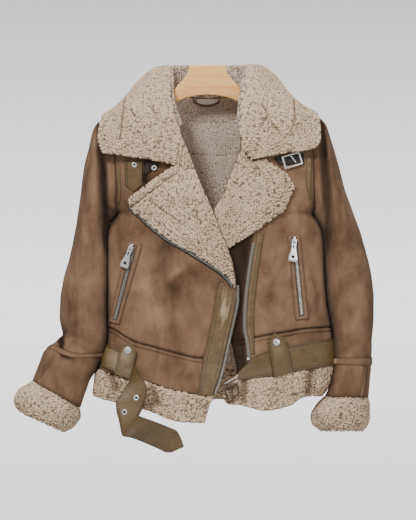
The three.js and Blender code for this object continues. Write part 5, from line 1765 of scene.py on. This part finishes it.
class JacketMetal(Piece, bpy.types.Operator):
    """Sliders, pulls, rivets, buckles and prongs"""

    bl_idname = "jacket.metal"
    bl_label = "Metal parts"

    def build(self, scene):
        for side in ("right", "left"):
            rounded("pocket_slider_" + side, "slider_" + side, 0.5, 2, "metal", "metal")
            node = "pocket_pull_" + side
            pull = rounded(node, "pull_" + side, 0.35, 2, "metal", "metal", node)
            rounded("rivet_" + side, "rivet_dome_" + side, 0.7, 3, "metal", "metal")
            self.cuts(node, pull)
        rounded("throat_buckle", "throat_buckle_frame", 0.7, 3, "metal", "metal")
        rounded("throat_prong", "throat_buckle_prong", 0.6, 2, "metal", "metal", "throat_prong")
        rounded("belt_buckle", "belt_buckle_frame", 0.9, 3, "buckle", "leather")
        rounded("belt_prong", "belt_buckle_prong", 0.7, 2, "teeth", "metal", "belt_prong")
        rounded("zip_end", "zip_stop", 0.5, 2, "metal", "metal")

    def cuts(self, node, pull):
        """Widen a pull towards its foot, with a slot and a half-round opening as dark recesses in its front, painted
        near-black as shade.
        """
        mesh = frame["nodes"][node].data
        p = np.array([v.co for v in mesh.vertices]) / MM
        centre = (p.min(0) + p.max(0)) / 2
        _, _, axes = np.linalg.svd(p - p.mean(0))
        along, across, out = axes
        along, out = along * -np.sign(along[2]), out * -np.sign(out[1])
        across = np.cross(out, along)
        reach = np.ptp((p - centre) @ along)
        front = ((p - centre) @ out).max() + 0.1
        for vertex in pull.data.vertices:
            q = np.array(vertex.co) / MM - centre
            wider = across * float(q @ across) * 0.45 * float(rise(-0.15, 0.35, q @ along / reach))
            vertex.co = (q + centre + wider) * MM
        t = np.arange(24) / 24 * 2 * np.pi
        for name, (at, long, wide, flat_end) in PULL_CUTS.items():
            a, b = np.minimum(np.cos(t) * long, long * (1 - flat_end)), np.sin(t) * wide
            rim = centre + (at * reach + a)[:, None] * along + b[:, None] * across + front * out
            middle = rim.mean(0)
            recess("%s_%s" % (node, name), rim, rim - 0.5 * out, middle, middle - 0.5 * out, node)


class JacketHanger(Piece, bpy.types.Operator):
    """Wooden hanger, blank neck label and hanging loop"""

    bl_idname = "jacket.hanger"
    bl_label = "Hanger, label and loop"

    def build(self, scene):
        rounded("hanger", "hanger_board", 2.4, 4, "wood", "wood")
        u, v = np.meshgrid(np.linspace(0, 1, 40), np.linspace(0, 1, 10), indexing="ij")
        x, z = mix(-18, 18, u), mix(-71.5, -60.5, v)
        p = body("back", x, z) - body_normal("back", x, z) * (SHELL + 1.2)
        n = body_normal("back", x, z)
        piece = shell("neck_label_cloth", p + n * 0.4, p - n * 0.4, ("label",), replaces=("neck_label",),
                      slot="label", steps=1)
        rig.sheet(piece, held="stretched", rests_on=["suede_back"], **cut(p))
        u, v = np.meshgrid(np.linspace(0, 1, 60), np.linspace(0, 1, 8), indexing="ij")
        x = mix(-26, 23, u)
        z = -59 - 11 * np.sqrt(np.sin(np.pi * np.clip(u, 0.001, 0.999))) - 4 * v
        n = body_normal("back", x, z)
        p = body("back", x, z) - n * (SHELL + 2.6)
        edges = 0.4 * bell(v * 4) + 0.4 * bell((1 - v) * 4)
        shell("hanging_loop_leather", p + n * 0.7, p - n * 0.7, ("leather",), mark=edges,
              replaces=("hanging_loop",), slot="leather", steps=1)


class JacketStage(Piece, bpy.types.Operator):
    """Pale floor, soft lights, background and camera"""

    bl_idname = "jacket.stage"
    bl_label = "Stage"

    def build(self, scene):
        light = scene.jacket_light
        self.floor(scene, light)
        self.lamps(scene, light)
        self.background(scene, light)
        self.camera(scene, light)

    def floor(self, scene, light):
        mesh = bpy.data.meshes.new("floor")
        bm = bmesh.new()
        bmesh.ops.create_circle(bm, cap_ends=True, radius=2.6, segments=96)
        bmesh.ops.translate(bm, verts=bm.verts, vec=(0, 0, -light.hang_height))
        bm.to_mesh(mesh)
        bm.free()
        floor = bpy.data.objects.new("floor", mesh)
        material = bpy.data.materials.new("pale_floor")
        material.use_nodes = True
        tree = material.node_tree
        shader = next(n for n in tree.nodes if n.type == "BSDF_PRINCIPLED")
        shader.inputs["Roughness"].default_value = 0.8
        where = tree.nodes.new("ShaderNodeTexCoord").outputs["Object"]
        share = noise(tree, where, 3.0, 3, 0.5)
        tone = blend_colour(tree, hue((222, 221, 219)), hue((212, 211, 209)), share)
        tree.links.new(tone, shader.inputs["Base Color"])
        mesh.materials.append(material)
        scene.collection.objects.link(floor)
        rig.stage(floor)

    def lamps(self, scene, light):
        target = Vector((0, 0, -0.35))
        for name, place, size, power in (
            ("key", (-1.1, -2.4, 1.7), 0.7, light.key),
            ("fill", (1.9, -2.4, 0.2), 1.8, light.fill),
            ("top", (0.1, -0.5, 2.2), 1.2, light.top),
        ):
            lamp = bpy.data.lights.new(name, "AREA")
            lamp.shape, lamp.size, lamp.energy = "DISK", size, power
            thing = bpy.data.objects.new(name, lamp)
            thing.location = place
            thing.rotation_euler = (target - Vector(place)).to_track_quat("-Z", "Y").to_euler()
            scene.collection.objects.link(thing)

    def background(self, scene, light):
        world = bpy.data.worlds.new("studio")
        scene.world = world
        world.use_nodes = True
        tree = world.node_tree
        back = next(n for n in tree.nodes if n.type == "BACKGROUND")
        way = tree.nodes.new("ShaderNodeTexCoord").outputs["Generated"]
        up = add_node(tree, "ShaderNodeSeparateXYZ", {0: way}).outputs[2]
        reach = PICTURE_HALF * MM / light.distance
        tone = blend_colour(tree, tuple(light.middle), tuple(light.high), spread(tree, up, -0.1 * reach, reach))
        tone = blend_colour(tree, tone, tuple(light.low), spread(tree, up, -reach * 0.3, -reach))
        seen = tree.nodes.new("ShaderNodeLightPath").outputs["Is Camera Ray"]
        tree.links.new(blend_colour(tree, (0.6, 0.6, 0.6, 1.0), tone, seen), back.inputs["Color"])
        tree.links.new(spread(tree, seen, 0.0, 1.0, light.room, light.background), back.inputs["Strength"])

    def camera(self, scene, light):
        lens = bpy.data.cameras.new("camera")
        lens.lens, lens.sensor_width = SENSOR / 2 * light.distance / (PICTURE_HALF * MM), SENSOR
        lens.clip_start, lens.clip_end = 0.1, 40
        camera = bpy.data.objects.new("camera", lens)
        camera.location = (PICTURE_X * MM, -0.05 - light.distance, PICTURE_Z * MM)
        camera.rotation_euler = (math.pi / 2, 0, 0)
        scene.collection.objects.link(camera)
        scene.camera = camera


def colour_choice(name, description, rgb):
    return bpy.props.FloatVectorProperty(name=name, description=description, default=hue(rgb), size=4,
                                         subtype="COLOR")


def number_choice(name, description, value, **limits):
    return bpy.props.FloatProperty(name=name, description=description, default=value, **limits)


class JacketLight(bpy.types.PropertyGroup):
    """Light, background and distance of the picture"""

    hang_height: number_choice("Hanging height", "From the floor up to the hanger's crown", 1.55, unit="LENGTH")
    distance: number_choice("Camera distance", "From the camera to the jacket's front", 12.0, unit="LENGTH")
    key: number_choice("Key light", "Power of the light from the upper left", 86, unit="POWER")
    fill: number_choice("Fill light", "Power of the light from the right", 26, unit="POWER")
    top: number_choice("Top light", "Power of the light from above", 22, unit="POWER")
    room: number_choice("Room light", "Strength of the light from all round", 0.52)
    background: number_choice("Background", "Brightness of the background", 2.6)
    low: colour_choice("Background below", "Colour of the background's lowest part", (206, 206, 206))
    middle: colour_choice("Background middle", "Colour of the background's middle", (227, 227, 227))
    high: colour_choice("Background above", "Colour of the background's upper part", (165, 165, 165))


class JacketLook(bpy.types.PropertyGroup):
    """Colours of the materials and size of the fleece's curls"""

    suede: colour_choice("Suede", "Colour of the brushed suede", (148, 118, 94))
    fleece: colour_choice("Fleece", "Colour of the fleece's tips", (236, 206, 173))
    lining: colour_choice("Lining", "Colour of the lining's tips", (240, 217, 194))
    leather: colour_choice("Leather", "Colour of the bands and plackets", (116, 91, 58))
    strap: colour_choice("Strap", "Colour of the belt, loops and tabs", (97, 75, 41))
    wood: colour_choice("Wood", "Colour of the hanger's wood", (255, 203, 128))
    metal: colour_choice("Metal", "Colour of the bright metal", (244, 244, 242))
    curl: number_choice("Curl size", "Width of one curl of the fleece", 0.0046, min=0.003, unit="LENGTH")
    relief: number_choice("Curl height", "How far the curls stand out", 0.0031, unit="LENGTH")


STEPS = (
    JacketStage, JacketPanels, JacketSleeves, JacketLapels, JacketCollar, JacketBands, JacketZips,
    JacketPockets, JacketBelt, JacketThroat, JacketMetal, JacketHanger,
)


class VIEW3D_PT_jacket(bpy.types.Panel):
    """The jacket's pieces, one button each"""

    bl_label = "Sherpa jacket"
    bl_space_type = "VIEW_3D"
    bl_region_type = "UI"
    bl_category = "Jacket"

    def draw(self, context):
        for step in STEPS:
            self.layout.operator(step.bl_idname)
        for group in (context.scene.jacket_look, context.scene.jacket_light):
            for key in type(group).__annotations__:
                self.layout.prop(group, key)


def register():
    for kind in (JacketLight, JacketLook, *STEPS, VIEW3D_PT_jacket):
        bpy.utils.register_class(kind)
    bpy.types.Scene.jacket_light = bpy.props.PointerProperty(type=JacketLight)
    bpy.types.Scene.jacket_look = bpy.props.PointerProperty(type=JacketLook)


def unregister():
    del bpy.types.Scene.jacket_look
    del bpy.types.Scene.jacket_light
    for kind in reversed((JacketLight, JacketLook, *STEPS, VIEW3D_PT_jacket)):
        bpy.utils.unregister_class(kind)


def main():
    register()
    for step in STEPS:
        getattr(bpy.ops.jacket, step.bl_idname.split(".")[1])()
    sizes = {"cad": [list(c) for c in CAD_BOX], "visual": [list(c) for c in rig.bounds()]}
    with open("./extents.json", "w") as out:
        json.dump(sizes, out)


if __name__ == "__main__":
    main()
